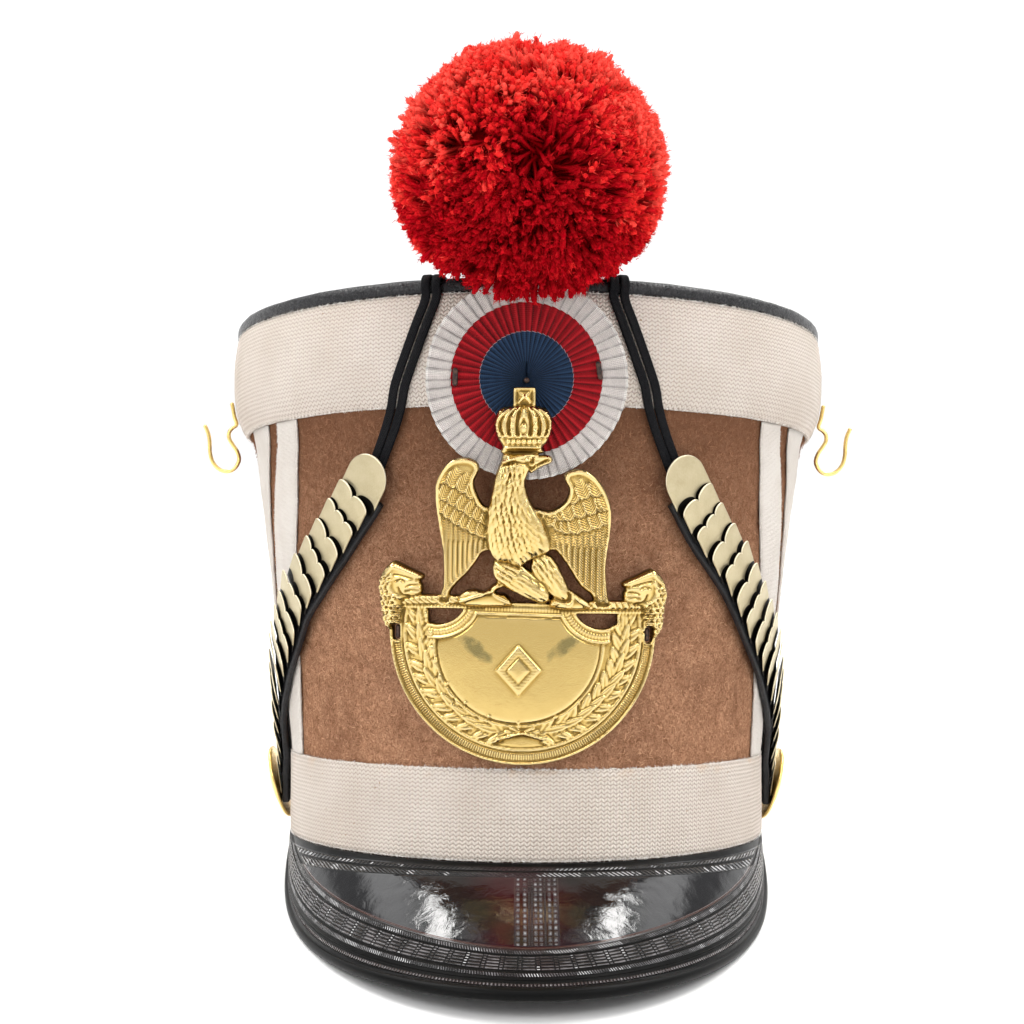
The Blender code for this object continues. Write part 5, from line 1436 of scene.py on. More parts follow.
def make_plate():
    """The stamped brass plate and the two prongs that hold it."""
    relief = Relief()
    carve_shield(relief)
    carve_bars(relief)
    carve_eagle(relief)
    carve_lions(relief)
    carve_ornament(relief)
    for x0, x1, z0, z1 in SLOTS:
        half = (x1 - x0) / 2
        out_x = np.maximum(np.abs(relief.x - (x0 + x1) / 2) - 0.1, 0.0)
        out_z = np.maximum(np.abs(relief.z - (z0 + z1) / 2) - (z1 - z0) / 2 + half, 0.0)
        far = np.hypot(out_x, out_z) - half + 0.1
        relief.inside = np.minimum(relief.inside, far)
        relief.height += 0.5 * ridge(far - 0.4, 0.45)
    edge = np.clip(relief.inside / 0.5, 0, 1)
    height = relief.soften(relief.height, 0.13) * (0.35 + 0.65 * edge)
    height += 0.25 * ridge(relief.inside - 0.45, 0.45)
    # The lift mark is high on crests and low in recesses; the brass is painted darker where it is low, as
    # tarnish together with painted shade.
    cavity = np.clip(0.56 + 1.7 * (height - relief.soften(height, 0.8)), 0, 1)

    left, right, low, high = PLATE_BOX
    x, z = np.meshgrid(np.arange(left, right, PLATE_PITCH), np.arange(low, high, PLATE_PITCH))
    middle_x, middle_z = x[:-1, :-1] + PLATE_PITCH / 2, z[:-1, :-1] + PLATE_PITCH / 2
    kept = relief.sample(relief.inside, middle_x, middle_z) > 0
    number = np.arange(x.size).reshape(x.shape)
    quads = np.stack([number[:-1, :-1], number[:-1, 1:], number[1:, 1:], number[1:, :-1]], -1)[kept]
    edges = np.concatenate([quads[:, (i, (i + 1) % 4)] for i in range(4)])
    keys = np.sort(edges, axis=1)
    codes = keys[:, 0] * x.size + keys[:, 1]
    _, first, counts = np.unique(codes, return_index=True, return_counts=True)
    border = edges[first[counts == 1]]
    x, z = x.ravel().copy(), z.ravel().copy()
    rim = np.unique(border)
    inward_z, inward_x = np.gradient(relief.inside, RASTER)
    for _ in range(2):
        off = relief.sample(relief.inside, x[rim], z[rim])
        gx, gz = relief.sample(inward_x, x[rim], z[rim]), relief.sample(inward_z, x[rim], z[rim])
        size = np.maximum(gx ** 2 + gz ** 2, 0.25)
        move = np.clip(off, -0.5, 0.5) / size
        x[rim] -= gx * move
        z[rim] -= gz * move
    used = np.unique(quads)
    quads, border = np.searchsorted(used, quads), np.searchsorted(used, border)
    x, z = x[used], z[used]
    count = len(x)
    points = np.concatenate([plate_place(x, z, PLATE_SHEET + relief.sample(height, x, z)),
                             plate_place(x, z, 0.0 * x)])
    wall = np.concatenate([border[:, ::-1], border + count], axis=1)
    faces = np.concatenate([quads, quads[:, ::-1] + count, wall])
    cloth = np.tile(stack(x, z), (2, 1))[faces]
    fields = {"lift": cavity, "barb": relief.phase, "barbs": relief.barbs}
    marks = {mark: np.tile(relief.sample(field, x, z), 2) for mark, field in fields.items()}
    piece("eagle_plate_brass", points, [faces], STAMPED, uv=[cloth], marks=marks, covers=("eagle_plate",),
          slot="polished_brass")

    # The ends of the prongs that show in the slots.
    for name, (x0, x1, z0, z1) in zip(("left", "right"), SLOTS):
        ring = circle(16)
        run = np.linspace(z0 + 0.5, z1 - 0.6, 14)[:, None]
        ends = np.sqrt(np.clip(np.minimum(run - z0 - 0.45, z1 - 0.55 - run) / 0.5, 0.02, 1))
        rod = plate_place((x0 + x1) / 2 + 0.75 * ends * np.cos(ring), run, 0.55 + 0.5 * ends * np.sin(ring))
        rod_piece(f"prong_{name}", rod, IRON, slot="dark_wire")


def plate_place(x, z, out):
    """Points of the plate: across and up it, and out of its back."""
    def sheet(px, pz):
        half_width, half_depth = PLATE_BEND
        start, over, less = PLATE_FLATTER
        bend = half_depth * (1.0 - np.sqrt(1.0 - (px / half_width) ** 2))
        share = np.clip((pz - start) / over, 0, 1)
        bend = bend * (1.0 - less * share * share * (3.0 - 2.0 * share))
        return stack(px, bend - np.interp(pz, PLATE_HEIGHTS, PLATE_DEPTHS), pz)

    x = x + PLATE_X
    normal = unit(np.cross(sheet(x + 1.5, z) - sheet(x - 1.5, z), sheet(x, z + 1.5) - sheet(x, z - 1.5)))
    return sheet(x, z) + normal * out[..., None]


def stamped_surface():
    """The plate's brass: bright on high places, brown in the recesses from tarnish and painted shade,
    with barbs and fine ribs darkened in their grooves as painted shade.
    """
    paint = Paint("stamped_brass", (0.9, 0.66, 0.28), 0.2, Metallic=1.0)
    lift, barb, barbs = paint.mark("lift"), paint.mark("barb"), paint.mark("barbs")
    x, z = paint.cloth()

    def square(value, size=1.0):
        return paint.calc("POWER", paint.calc("DIVIDE", value, size), 2.0)

    cloud = paint.noise(5.0, 4.0, 0.6, distort=0.4)
    grit = paint.noise(0.5, 3.0, 0.7)
    # Darker where the lift mark is low: tarnish in the recesses together with painted shade.
    tone = paint.ramp(lift, (0.10, (0.055, 0.030, 0.006)), (0.36, (0.44, 0.285, 0.075)),
                      (0.55, (0.74, 0.54, 0.20)), (0.85, (0.90, 0.71, 0.34)))
    tone = paint.tint(tone, cloud, 0.45, 0.8, (0.68, 0.47, 0.155), 0.3)
    barbed = paint.times(paint.wave(barb, 0.85), barbs)
    # Painted shade in the barbs' grooves.
    tone = paint.tint(tone, barbed, 0.1, -0.6, (0.12, 0.07, 0.014), 0.8)
    up = paint.less(z, SHIELD_MIDDLE)
    radius = paint.calc("SQRT", paint.total(square(x), square(up)))
    ribs = paint.times(paint.pulse(radius, 39.6, 42.0, 0.2), paint.calc("LESS_THAN", z, SHIELD_TOP),
                       paint.calc("SINE", paint.times(paint.calc("ARCTAN2", up, x), 326.0)))
    # Painted shade between the ring's ribs.
    tone = paint.tint(tone, ribs, 0.3, -0.6, (0.26, 0.16, 0.04), 0.75)
    # Painted dark reflections in two smears below the field's upper corners.
    dark_reflections = []
    for middle, low, slant in ((-15.0, 69.8, 0.75), (13.4, 70.6, -0.75)):
        dx, dz = paint.less(x, middle), paint.less(z, low)
        cross = paint.total(dz, paint.times(dx, slant))
        run = paint.less(dx, paint.times(dz, slant))
        far = paint.total(square(cross, 3.0), square(run, 8.5))
        ragged = paint.spread(paint.noise(2.6, 4.0), 0.3, 0.7, -0.5, 0.5)
        dark_reflections.append(paint.spread(paint.total(far, ragged), 1.1, 0.1))
    tone = paint.mix(paint.times(paint.calc("MAXIMUM", *dark_reflections), 0.72), tone, (0.15, 0.135, 0.06))
    paint.set("Base Color", tone)
    paint.set("Roughness", paint.total(paint.spread(cloud, 0.3, 0.7, 0.10, 0.18),
                                       paint.spread(lift, 0.1, 0.55, 0.25, 0.0)))
    return paint.bump((cloud, 0.05), (grit, 0.03), (barbed, 0.09), (ribs, 0.2))


STAMPED = stamped_surface()

make_plate()


# ---------------------------------------------------------------------------- cockade and its staples


COCKADE_CENTRE = np.array((-1.4, -127.5, 156.2))
COCKADE_LEAN = math.radians(9.0)
# Its own directions: across, up and out of its face.
COCKADE_WAYS = np.array((
    (1.0, 0.0, 0.0),
    (0.0, -math.sin(COCKADE_LEAN), math.cos(COCKADE_LEAN)),
    (0.0, -math.cos(COCKADE_LEAN), -math.sin(COCKADE_LEAN)),
))
COCKADE_RADIUS = 32.5
COCKADE_THICKNESS = 2.0
PLEATS = 56
PLEAT_STEPS = 8
# The share of a pleat over which it climbs to its fold.
PLEAT_CLIMB = 0.86
STAPLE_HALF_LENGTH = 2.1
STAPLE_RADIUS = 0.85


def cockade_place(x, up, out):
    """Points on the cockade: across it, up it and out of its face."""
    return COCKADE_CENTRE + stack(x, up, out) @ COCKADE_WAYS


def make_cockade():
    """The pleated ribbon disc: each pleat climbs to a fold that drops on the next."""
    dice = np.random.default_rng(5)
    count = PLEATS * PLEAT_STEPS
    radii = np.concatenate([[0.7], np.linspace(1.4, COCKADE_RADIUS, 30), np.linspace(COCKADE_RADIUS, 0.7, 6)])
    front = np.arange(len(radii))[:, None] < 31
    radii = radii[:, None]
    share = radii / COCKADE_RADIUS
    angle = circle(count)
    pleat = np.arange(count) / PLEAT_STEPS
    folds = np.arange(PLEATS + 1)
    bends = np.interp(pleat, folds, dice.normal(0.0, 0.16, PLEATS + 1))
    turned = angle + bends * 0.05 * share
    fold = fraction(angle * PLEATS / TAU)
    climb = np.where(fold < PLEAT_CLIMB, 0.15 + 0.85 * fold / PLEAT_CLIMB, (1.0 - fold) / (1.0 - PLEAT_CLIMB))
    height = (0.16 + 0.80 * share) * climb - 0.12
    # In the middle ring the cloth is gathered: some folds stand up and others sink.
    gathers = np.interp(pleat, folds, dice.normal(0.0, 0.3, PLEATS + 1))
    height += gathers * np.exp(-((radii - 18.5) / 5.0) ** 2) - 0.5 * np.exp(-((radii - 0.7) / 1.1) ** 2)
    slit = (np.abs((angle + math.pi) % TAU - math.pi) * radii < 0.35) & (radii < 5.5)
    height += 0.25 * np.sin(angle * 3 + 1.0) * share ** 2 - 0.9 * slit
    reach = radii + (0.22 * (climb - 0.5) + 0.12 * np.sin(angle * 5.0)) * (share > 0.9)
    height = np.where(front, height, -COCKADE_THICKNESS)
    points = cockade_place(reach * np.sin(turned), reach * np.cos(turned), height)
    rod_piece("cockade_ribbon", points, RIBBON, uv=stack(np.append(pleat, PLEATS), radii),
              covers=("cockade",), slot="ribbon")

    for side, x, up, tilt in (("left", -22.9, 0.4, 0.02), ("right", 23.3, 2.6, -0.16)):
        # A half ball at each end of a straight rod.
        steps = np.linspace(-math.pi / 2, math.pi / 2, 7)
        turns = np.concatenate([steps[:4], steps[3:]])[:, None]
        along = STAPLE_RADIUS * np.sin(turns) + STAPLE_HALF_LENGTH * np.repeat((-1.0, 1.0), 4)[:, None]
        thick = STAPLE_RADIUS * np.cos(turns) + 0.02
        ring = circle(16)
        rod = cockade_place(x + thick * np.cos(ring) + along * math.sin(tilt), up + along,
                            1.05 + 0.75 * thick * np.sin(ring))
        rod_piece(f"staple_{side}", rod, IRON, covers=(f"cockade_staple_{side}",), slot="dark_wire")
    ring = circle(20)
    arc = np.linspace(0.0, math.pi / 2, 6)[:, None]
    nail = cockade_place(np.cos(arc) * np.cos(ring), np.cos(arc) * np.sin(ring) - 0.6, np.sin(arc) - 0.4)
    rod_piece("cockade_nail", nail, IRON, slot="dark_wire")


# ------------------------------------------------------------------------------------------ pompom


POMPOM_RADIUS = 43.2
POMPOM_SQUASH = np.array((1.0, 1.0, 0.955))
POMPOM_YARNS = 7100
POMPOM_CLUMPS = 900
POMPOM_CUT_FRONT = -133.8
POMPOM_CUT_TOP = 193.8
POMPOM_CORE = 34.0
POMPOM_HEAD = 36.5
# Single blades at each yarn's end.
YARN_FRAY = 15
# Loose tufts: their direction across and up, and how far they stand out.
POMPOM_TUFTS = (
    (-0.17, 0.984, 3.0), (0.42, 0.905, 3.0), (0.52, 0.85, 2.4), (-0.98, 0.17, 3.2), (-0.80, -0.58, 2.6),
)
# The middle of the hollow from which the wool leans away.
PARTING = unit(np.array((0.07, -0.98, -0.12)))
STEM_FOOT = np.array((0.0, -124.3, 161.5))
STEM_LENGTH = 62.0
STEM_RADIUS = 1.2


def golden_directions(count):
    """Directions spread evenly over a sphere, along a spiral."""
    index = np.arange(count)
    up = 1.0 - (2.0 * index + 1.0) / count
    across = np.sqrt(1.0 - up * up)
    swing = math.pi * (3.0 - math.sqrt(5.0)) * index
    return stack(across * np.cos(swing), across * np.sin(swing), up)


def drift(directions, size, seed):
    """A smooth random vector for each direction."""
    return stack(*[waves(directions, size, seed + k, 2) for k in range(3)])


def pressed(points):
    """Where wool is kept out: behind the cockade's face, below the hat's rim."""
    return (points[..., 1] > POMPOM_CUT_FRONT - 0.7) & (points[..., 2] < POMPOM_CUT_TOP + 0.7)


def make_pompom():
    """A wool ball: a head painted dark as shade, thousands of thick yarn ends in leaning clumps, and their
    frayed tips.
    """
    dice = np.random.default_rng(13)
    way = unit(golden_directions(POMPOM_YARNS) + dice.normal(0.0, 0.014, (POMPOM_YARNS, 3)))
    clumps = unit(golden_directions(POMPOM_CLUMPS) + dice.normal(0.0, 0.035, (POMPOM_CLUMPS, 3)))
    nearest = np.argmax(way @ clumps.T, axis=1)
    facing = way @ PARTING
    near = np.clip((facing - 0.80) / 0.20, 0, 1) ** 1.2
    away = unit(way - PARTING * facing[:, None])
    swirl = np.cross(PARTING, away)
    lean = away * (0.20 * near * (1 - 0.6 * near))[:, None] + swirl * (0.34 * near)[:, None]
    # A seam runs from the hollow up to the top, where the wool parts to both sides.
    seam = np.exp(-((way[:, 0] - 0.02) / 0.10) ** 2) * (way[:, 2] > 0.0) * np.clip(-way[:, 1] + 0.2, 0, 1)
    lean[:, 0] += 0.5 * np.tanh((way[:, 0] - 0.02) / 0.04) * seam
    lean += 0.44 * drift(way, 0.42, 100) + 0.26 * drift(way, 0.95, 110)
    lean += dice.normal(0.0, 1.0, way.shape) * (0.13 + 0.20 * near[:, None])
    lean += 1.1 * (clumps[nearest] - way)
    lean -= way * np.sum(lean * way, axis=1, keepdims=True)
    hollow = np.clip((facing - 0.955) / 0.045, 0, 1)
    lift = 0.55 * dice.normal(size=POMPOM_CLUMPS)[nearest]
    from_middle = (np.linalg.norm(clumps[nearest] - way, axis=1) / 0.067) ** 2
    lift -= 1.2 * from_middle - 0.6
    reach = POMPOM_RADIUS - 2.6 * hollow - 2.2 * seam + 0.55 * waves(way, 0.35, 120, 2) + lift
    reach += dice.normal(0.0, 0.35, POMPOM_YARNS)
    stray = dice.random(POMPOM_YARNS) < 0.004
    reach += stray * dice.uniform(1.5, 3.2, POMPOM_YARNS)
    for across, up, out in POMPOM_TUFTS:
        toward = unit(np.array((across, -math.sqrt(max(0.0, 1.0 - across ** 2 - up ** 2)), up)))
        reach += out * np.exp(-((1.0 - way @ toward) / 0.0012))
    # Painted light: the shade mark makes the top and both sides of the ball lighter, as if lit, and higher
    # clumps lighter, with painted shade between the clumps and in the hollow; the rest of it varies at
    # random.
    tone = 0.29 + 0.13 * waves(way, 0.5, 130, 2) + dice.normal(0, 0.08, POMPOM_YARNS) + 0.10 * lift
    tone += 0.13 * dice.normal(size=POMPOM_CLUMPS)[nearest] - 0.16 * from_middle
    tone += 0.78 * np.clip(way[:, 2], -0.5, 1) + 0.60 * way[:, 0] ** 2 + 0.14 * np.clip(way[:, 0], 0, 1)
    shade = np.clip(tone - 0.20 * hollow, 0, 1)

    def ball(directions, reach):
        return POMPOM_CENTRE + directions * POMPOM_SQUASH * reach

    starts = ball(way, POMPOM_CORE)
    ends = ball(unit(way + 0.42 * lean), reach[:, None])
    bends = ball(unit(way + 0.16 * lean), 12.0 + reach[:, None] * 0.6)
    keep = ~(pressed(starts) | pressed(bends))
    # A yarn whose end would reach into the rim or the cockade stops short of it.
    for _ in range(6):
        held = pressed(ends)
        ends[held] = bends[held] + (ends[held] - bends[held]) * 0.6
    keep &= ~pressed(ends)
    shade, starts, bends, ends = (part[keep] for part in (shade, starts, bends, ends))
    count = len(ends)
    thick = dice.uniform(0.75, 1.15, count)[:, None]

    # Each yarn is a four-sided rod: its foot, a ring near its end, its end, and a blunt tip.
    aim = unit(ends - bends)
    side = unit(np.cross(ends - bends, dice.normal(size=(count, 3))))
    other = unit(np.cross(ends - bends, side))
    rows = []
    for station, wide, centre in ((0.0, 0.85, starts), (0.85, 1.05, ends - aim * 1.6), (1.0, 0.62, ends)):
        for swing in circle(4) + station * 1.6:
            rows.append(centre + (side * math.cos(swing) + other * math.sin(swing)) * thick * wide)
    points = np.stack(rows + [ends + aim * thick * 0.35], axis=1)
    base = 13 * np.arange(count)[:, None]
    turns = [(k, (k + 1) % 4) for k in range(4)]
    quads = np.concatenate([base + (low + k, low + after, low + 4 + after, low + 4 + k)
                            for low in (0, 4) for k, after in turns])
    tris = np.concatenate([base + (8 + k, 8 + after, 12) for k, after in turns])
    # The depth mark paints each yarn dark at its foot, as shade deep in the ball.
    deep = np.repeat((1.0, 0.16, 0.0), (4, 4, 5))
    marks = {"shade": np.repeat(shade, 13), "depth": np.tile(deep, count)}
    piece("pompom_yarn", points, [quads, tris], WOOL, marks=marks, covers=("pompom",), slot="wool")

    # Frayed fibres: single blades from each yarn's end.
    count *= YARN_FRAY
    root = np.repeat(ends - aim * 1.3, YARN_FRAY, axis=0) + dice.normal(0.0, 0.7, (count, 3))
    aim = unit(np.repeat(aim, YARN_FRAY, axis=0) + dice.normal(0.0, 0.6, (count, 3)))
    tips = root + aim * dice.uniform(1.0, 2.3, count)[:, None]
    flat = unit(np.cross(aim, dice.normal(size=aim.shape))) * dice.uniform(0.12, 0.26, count)[:, None]
    allowed = ~pressed(tips)
    points = np.stack([root - flat, root + flat, tips], axis=1)[allowed]
    faces = 3 * np.arange(len(points))[:, None] + (0, 1, 2)
    # Blades take their yarn's painted light, a little lighter still, and some painted shade at their roots.
    lit = np.clip(np.repeat(shade, YARN_FRAY) + dice.normal(0.10, 0.16, count), 0, 1)[allowed]
    marks = {"shade": np.repeat(lit, 3), "depth": np.tile((0.25, 0.25, 0.0), len(points))}
    piece("pompom_tips", points, [faces], WOOL, marks=marks, slot="wool", smooth=False)

    # The head inside, flattened where the rim and the cockade press into it, and painted dark as shade deep
    # inside the ball.
    polar = np.linspace(0.05, math.pi - 0.05, 60)[:, None]
    around = circle(110)
    way = stack(np.sin(polar) * np.cos(around), np.sin(polar) * np.sin(around), np.cos(polar))
    head = ball(way, (POMPOM_HEAD + 1.6 * waves(way, 0.3, 140, 2) - 3.0 * (way @ PARTING > 0.96))[..., None])
    inner = pressed(head)
    wall, floor = POMPOM_CUT_FRONT - 1.0, POMPOM_CUT_TOP + 1.0
    by_wall = np.abs(wall - head[..., 1]) < np.abs(floor - head[..., 2])
    head[inner & by_wall, 1] = wall
    head[inner & ~by_wall, 2] = floor
    marks = {"shade": np.zeros(inner.size), "depth": np.full(inner.size, 0.9)}
    rod_piece("pompom_head", head, WOOL, marks=marks, slot="wool")

    ring = circle(20)
    along = np.linspace(0.0, STEM_LENGTH, 12)[:, None]
    stem = STEM_FOOT + stack(STEM_RADIUS * np.cos(ring), along, STEM_RADIUS * np.sin(ring)) @ COCKADE_WAYS
    rod_piece("stem_wire", stem, IRON, covers=("pompom_stem",), slot="dark_wire")


# ---------------------------------------------------------------------------- chin scales and laces


# Centre line down each side: height, angle on the left, angle on the right.
STRAP_LINE = np.array((
    (133.5, 28.0, 26.4), (121.5, 33.0, 31.3), (112.5, 37.8, 35.2), (104.0, 42.7, 40.0), (95.0, 48.6, 45.6),
    (86.0, 55.2, 50.7), (76.5, 60.8, 57.0), (67.0, 68.0, 64.3), (57.0, 75.5, 72.0), (47.0, 81.5, 79.3),
    (35.0, 86.3, 85.3), (26.0, 88.7, 88.4), (17.0, 90.0, 90.0), (8.0, 90.6, 90.6),
))
ARC_PER_DEGREE = 1.9
SCALE_ROWS = 16
SCALE_WIDTHS = (17.0, 23.0)
SCALE_THICKNESS = 0.5
SCALE_ARCH = 0.22
# A scale's length in steps from one to the next.
SCALE_OVERLAP = 1.5
# The strap under the scales: its two sides above the felt, rounding, how much narrower than the scales it is
# and how far it lies beside their middle.
STRAP_LOW = 1.75
STRAP_HIGH = 4.1
STRAP_CORNER = 0.7
STRAP_NARROWER = 1.6
STRAP_SHIFT = 1.9
SCALE_BASE = 4.4
SCALE_SLOPE = 0.125
SCALLOP_DEPTH = 0.3
TONGUE_LENGTH = 18.5
BOSS_HEIGHT = 17.0
BOSS_BASE = 5.85
BOSS_LEAN = math.radians(15.8)
# The boss's domed front and its flat back: radius, height.
BOSS_FRONT = (
    (0.05, 4.1), (2.5, 4.0), (5.0, 3.55), (7.5, 3.0), (9.5, 2.35), (11.2, 1.7), (12.6, 1.15), (13.2, 1.2),
    (13.8, 1.05), (14.0, 0.6),
)
BOSS_BACK = ((14.0, 0.0), (12.0, 0.0), (0.05, 0.0))


class StrapLine:
    """Places along a chin strap, by the distance in millimetres from its upper end."""

    def __init__(self, sign):
        angles = sign * STRAP_LINE[:, 1 if sign < 0 else 2]
        route = smooth_path(stack(STRAP_LINE[:, 0], angles * ARC_PER_DEGREE), 240)
        self.z, self.angle = route[:, 0], np.radians(route[:, 1] / ARC_PER_DEGREE)
        self.points = hull(self.z, self.angle)
        self.lengths = running_length(self.points)
        self.boss = self.lengths[np.argmin(np.abs(self.z - BOSS_HEIGHT))]

    def frame(self, distance):
        """Point on the felt, direction outward, direction up the strap, direction across to +X."""
        i = int(np.argmin(np.abs(self.lengths - distance)))
        outward = hull_normal(self.z[i], self.angle[i])
        upward = unit(self.points[max(0, i - 4)] - self.points[min(239, i + 4)])
        upward = unit(upward - outward * (upward @ outward))
        return self.points[i], outward, upward, np.cross(upward, outward)


def leaf_crest(x, width, length, lobes):
    """Height of a scale's lobed upper edge above its lower edge."""
    lobe = width / lobes
    depth = SCALLOP_DEPTH * lobe if lobes > 1 else width / 2
    spot = fraction(np.clip(x / width + 0.5, 0, 0.9999999) * lobes) * 2 - 1
    return length - depth + depth * np.sqrt(np.clip(1 - spot ** 2, 0, 1))


def metal_leaf(name, width, length, lobes, placing, covers, over=None):
    """A thin scale with a lobed upper edge; over holds pitch, width, length and lobes of the next one."""
    origin, across, upward = placing
    outward = unit(np.cross(across, upward))
    u = np.sin(np.linspace(-math.pi / 2, math.pi / 2, 41)) if lobes == 1 else np.linspace(-1.0, 1.0, 49)
    crest = leaf_crest(u * width / 2, width, length, lobes)
    v = np.concatenate([np.linspace(0.0, 0.9, 8), (0.96, 0.985, 1.0)])[:, None]
    x = u * width / 2 + 0 * v
    y = v * crest
    to_crest = crest - y
    lip = np.clip(to_crest / 0.35, 0, 1) * np.clip((1 - np.abs(u)) * width / 2 / 0.3, 0, 1)
    arch = SCALE_ARCH * (1 - u ** 2)
    front, back = (origin + stack(x, y, out) @ np.array((across, upward, outward))
                   for out in (arch + SCALE_THICKNESS * (0.35 + 0.65 * np.sqrt(lip)), arch))
    rows, cols = x.shape
    quads = grid_faces(rows, cols)[0]
    number = np.arange(x.size).reshape(x.shape)
    ring = np.concatenate([number[0], number[1:, -1], number[-1, -2::-1], number[-2:0:-1, 0]])
    after = np.roll(ring, -1)
    wall = np.stack([ring, ring + x.size, after + x.size, after], -1)
    faces = np.concatenate([quads, quads[:, ::-1] + x.size, wall])
    flat = np.tile(stack(x, y).reshape(-1, 2), (2, 1))
    # The free mark leads the painted shadow under the next scale's lobes and the painted shade on the back;
    # the rim mark leads the painted highlight along the lobed edge.
    free = np.full(x.shape, 9.0)
    if over:
        pitch, next_width, next_length, next_lobes = over
        free = y + pitch - leaf_crest(x, next_width, next_length, next_lobes)
    rim = np.where(v > 0.3, to_crest, 9.0)
    marks = {"free": np.concatenate([free.ravel(), np.full(x.size, -1.0)]),
             "rim": np.concatenate([rim.ravel(), np.full(x.size, 9.0)])}
    piece(name, np.stack([front, back]), [faces], BRUSHED, uv=[flat[faces]], marks=marks, covers=covers,
          slot="brushed_brass")


def make_chin_scales():
    """Strap, scales and boss on both sides."""
    for side, sign in SIDES:
        line = StrapLine(sign)
        pitch = (line.boss + 2.0 - TONGUE_LENGTH) / SCALE_ROWS
        length = SCALE_OVERLAP * pitch
        point, outward, upward, across = line.frame(TONGUE_LENGTH / 2)
        origin = point + outward * SCALE_BASE - upward * (TONGUE_LENGTH / 2)
        step = (SCALE_WIDTHS[1] - SCALE_WIDTHS[0]) / (SCALE_ROWS - 1)
        metal_leaf(f"scale_tongue_{side}", SCALE_WIDTHS[0], TONGUE_LENGTH, 1, (origin, across, upward),
                   (f"scale_end_{side}",), (pitch, SCALE_WIDTHS[0], length, 2))
        for row in range(1, SCALE_ROWS + 1):
            width = SCALE_WIDTHS[0] + (row - 1) * step
            lobes, after = (2, 3) if row % 2 else (3, 2)
            point, outward, upward, across = line.frame(TONGUE_LENGTH + row * pitch)
            sloped = unit(upward + outward * SCALE_SLOPE)
            metal_leaf(f"chin_scale_{side}_{row:02d}", width, length, lobes,
                       (point + outward * SCALE_BASE, across, sloped), (f"scale_{side}_{row:02d}",),
                       (pitch, width + step, length, after) if row < SCALE_ROWS else None)

        rows, widths = [], SCALE_WIDTHS[0] - STRAP_NARROWER + np.linspace(0.0, 5.0, 90)
        for distance, width in zip(np.linspace(13.0, line.boss + 6.0, 90), widths):
            point, outward, _, across = line.frame(distance)
            section = rounded_section(width, STRAP_LOW, STRAP_HIGH, STRAP_CORNER)
            rows.append(point + across * (section[:, :1] - sign * STRAP_SHIFT) + outward * section[:, 1:])
        rod_piece(f"strap_{side}", np.array(rows), STRAP_LEATHER, covers=(f"chin_strap_{side}",),
                  slot="strap_leather")

        point, outward, upward, across = line.frame(line.boss)
        leaning = unit(upward * math.cos(BOSS_LEAN) + outward * math.sin(BOSS_LEAN))
        out = unit(np.cross(across, leaning))
        profile = np.concatenate([smooth_path(BOSS_FRONT, 24), BOSS_BACK])
        ring = circle(56)
        radius = profile[:, :1]
        dome_points = point + outward * BOSS_BASE + stack(
            radius * np.cos(ring), radius * np.sin(ring), profile[:, 1:]) @ np.array((across, leaning, out))
        rod_piece(f"boss_dome_{side}", dome_points, BRASS, covers=(f"boss_{side}",),
                  marks={"lift": np.full(radius.size * 56, 0.8)}, slot="polished_brass")


# Angle on the left at the rim and at the scales, the same on the right, and how far back it goes.
LACES = {
    "tie_lace_outer": (-17.75, -30.0, 15.75, 27.95, 25.0),
    "tie_lace_inner": (-15.85, -28.0, 13.85, 25.95, 18.0),
}
LACE_WIDTH = 3.1
LACE_THICKNESS = 1.1
LACE_OFF = 1.75
LACE_ROWS = (126.0, 131.0, 142.0, 149.5, 156.0, 166.0, 176.0, 184.0)
# Where it goes over the rim: distance outside the felt, height over the rim, tilt of its outer side.
LACE_OVER_RIM = ((2.4, 2.4, 25.0), (1.7, 4.7, 50.0), (-1.0, 5.6, 85.0))
# The crown under a lace: distance outside the felt, height.
CROWN_TOP_LINE = ((-16.0, 188.4), (-7.0, 189.4), (-3.2, 190.8), (-1.4, 191.0), (0.5, 190.2), (1.5, 188.6))


def lace_height(off):
    """Height at which a lace lies flat on the crown, its middle at a distance outside the felt."""
    offs, heights = np.array(CROWN_TOP_LINE).T
    return np.max(np.interp(off + LACE_WIDTH * np.array((-0.5, 0.0, 0.5)), offs, heights)) + GAP


def lace_half(top, low, back):
    """One side of a lace, from its end at the scales to the crown's middle: points and normals."""
    half = []
    for z in LACE_ROWS:
        share = (z - 131.0) / 53.0
        angle = math.radians(low + (top - low) * (share + 0.33 * share * (1.0 - share)))
        half.append((*hull(z, angle, LACE_OFF), *hull_normal(z, angle)))
    rim = math.radians(top)
    for off, rise, degrees in LACE_OVER_RIM:
        tilt = math.radians(degrees)
        flat = math.cos(tilt)
        half.append((*hull(RIM_TOP, rim, off)[:2], RIM_TOP + rise,
                     math.sin(rim) * flat, -math.cos(rim) * flat, math.sin(tilt)))
    for swing in np.radians((15.0, 40.0, 65.0)):
        half.append(lace_on_crown(rim * math.cos(swing), -3.0 - (back - 3.0) * math.sin(swing)))
    return half


def lace_on_crown(angle, off):
    """A point of a lace that lies flat on the crown, and its normal."""
    return (*hull(RIM_TOP, angle, off)[:2], lace_height(off), 0.0, 0.0, 1.0)


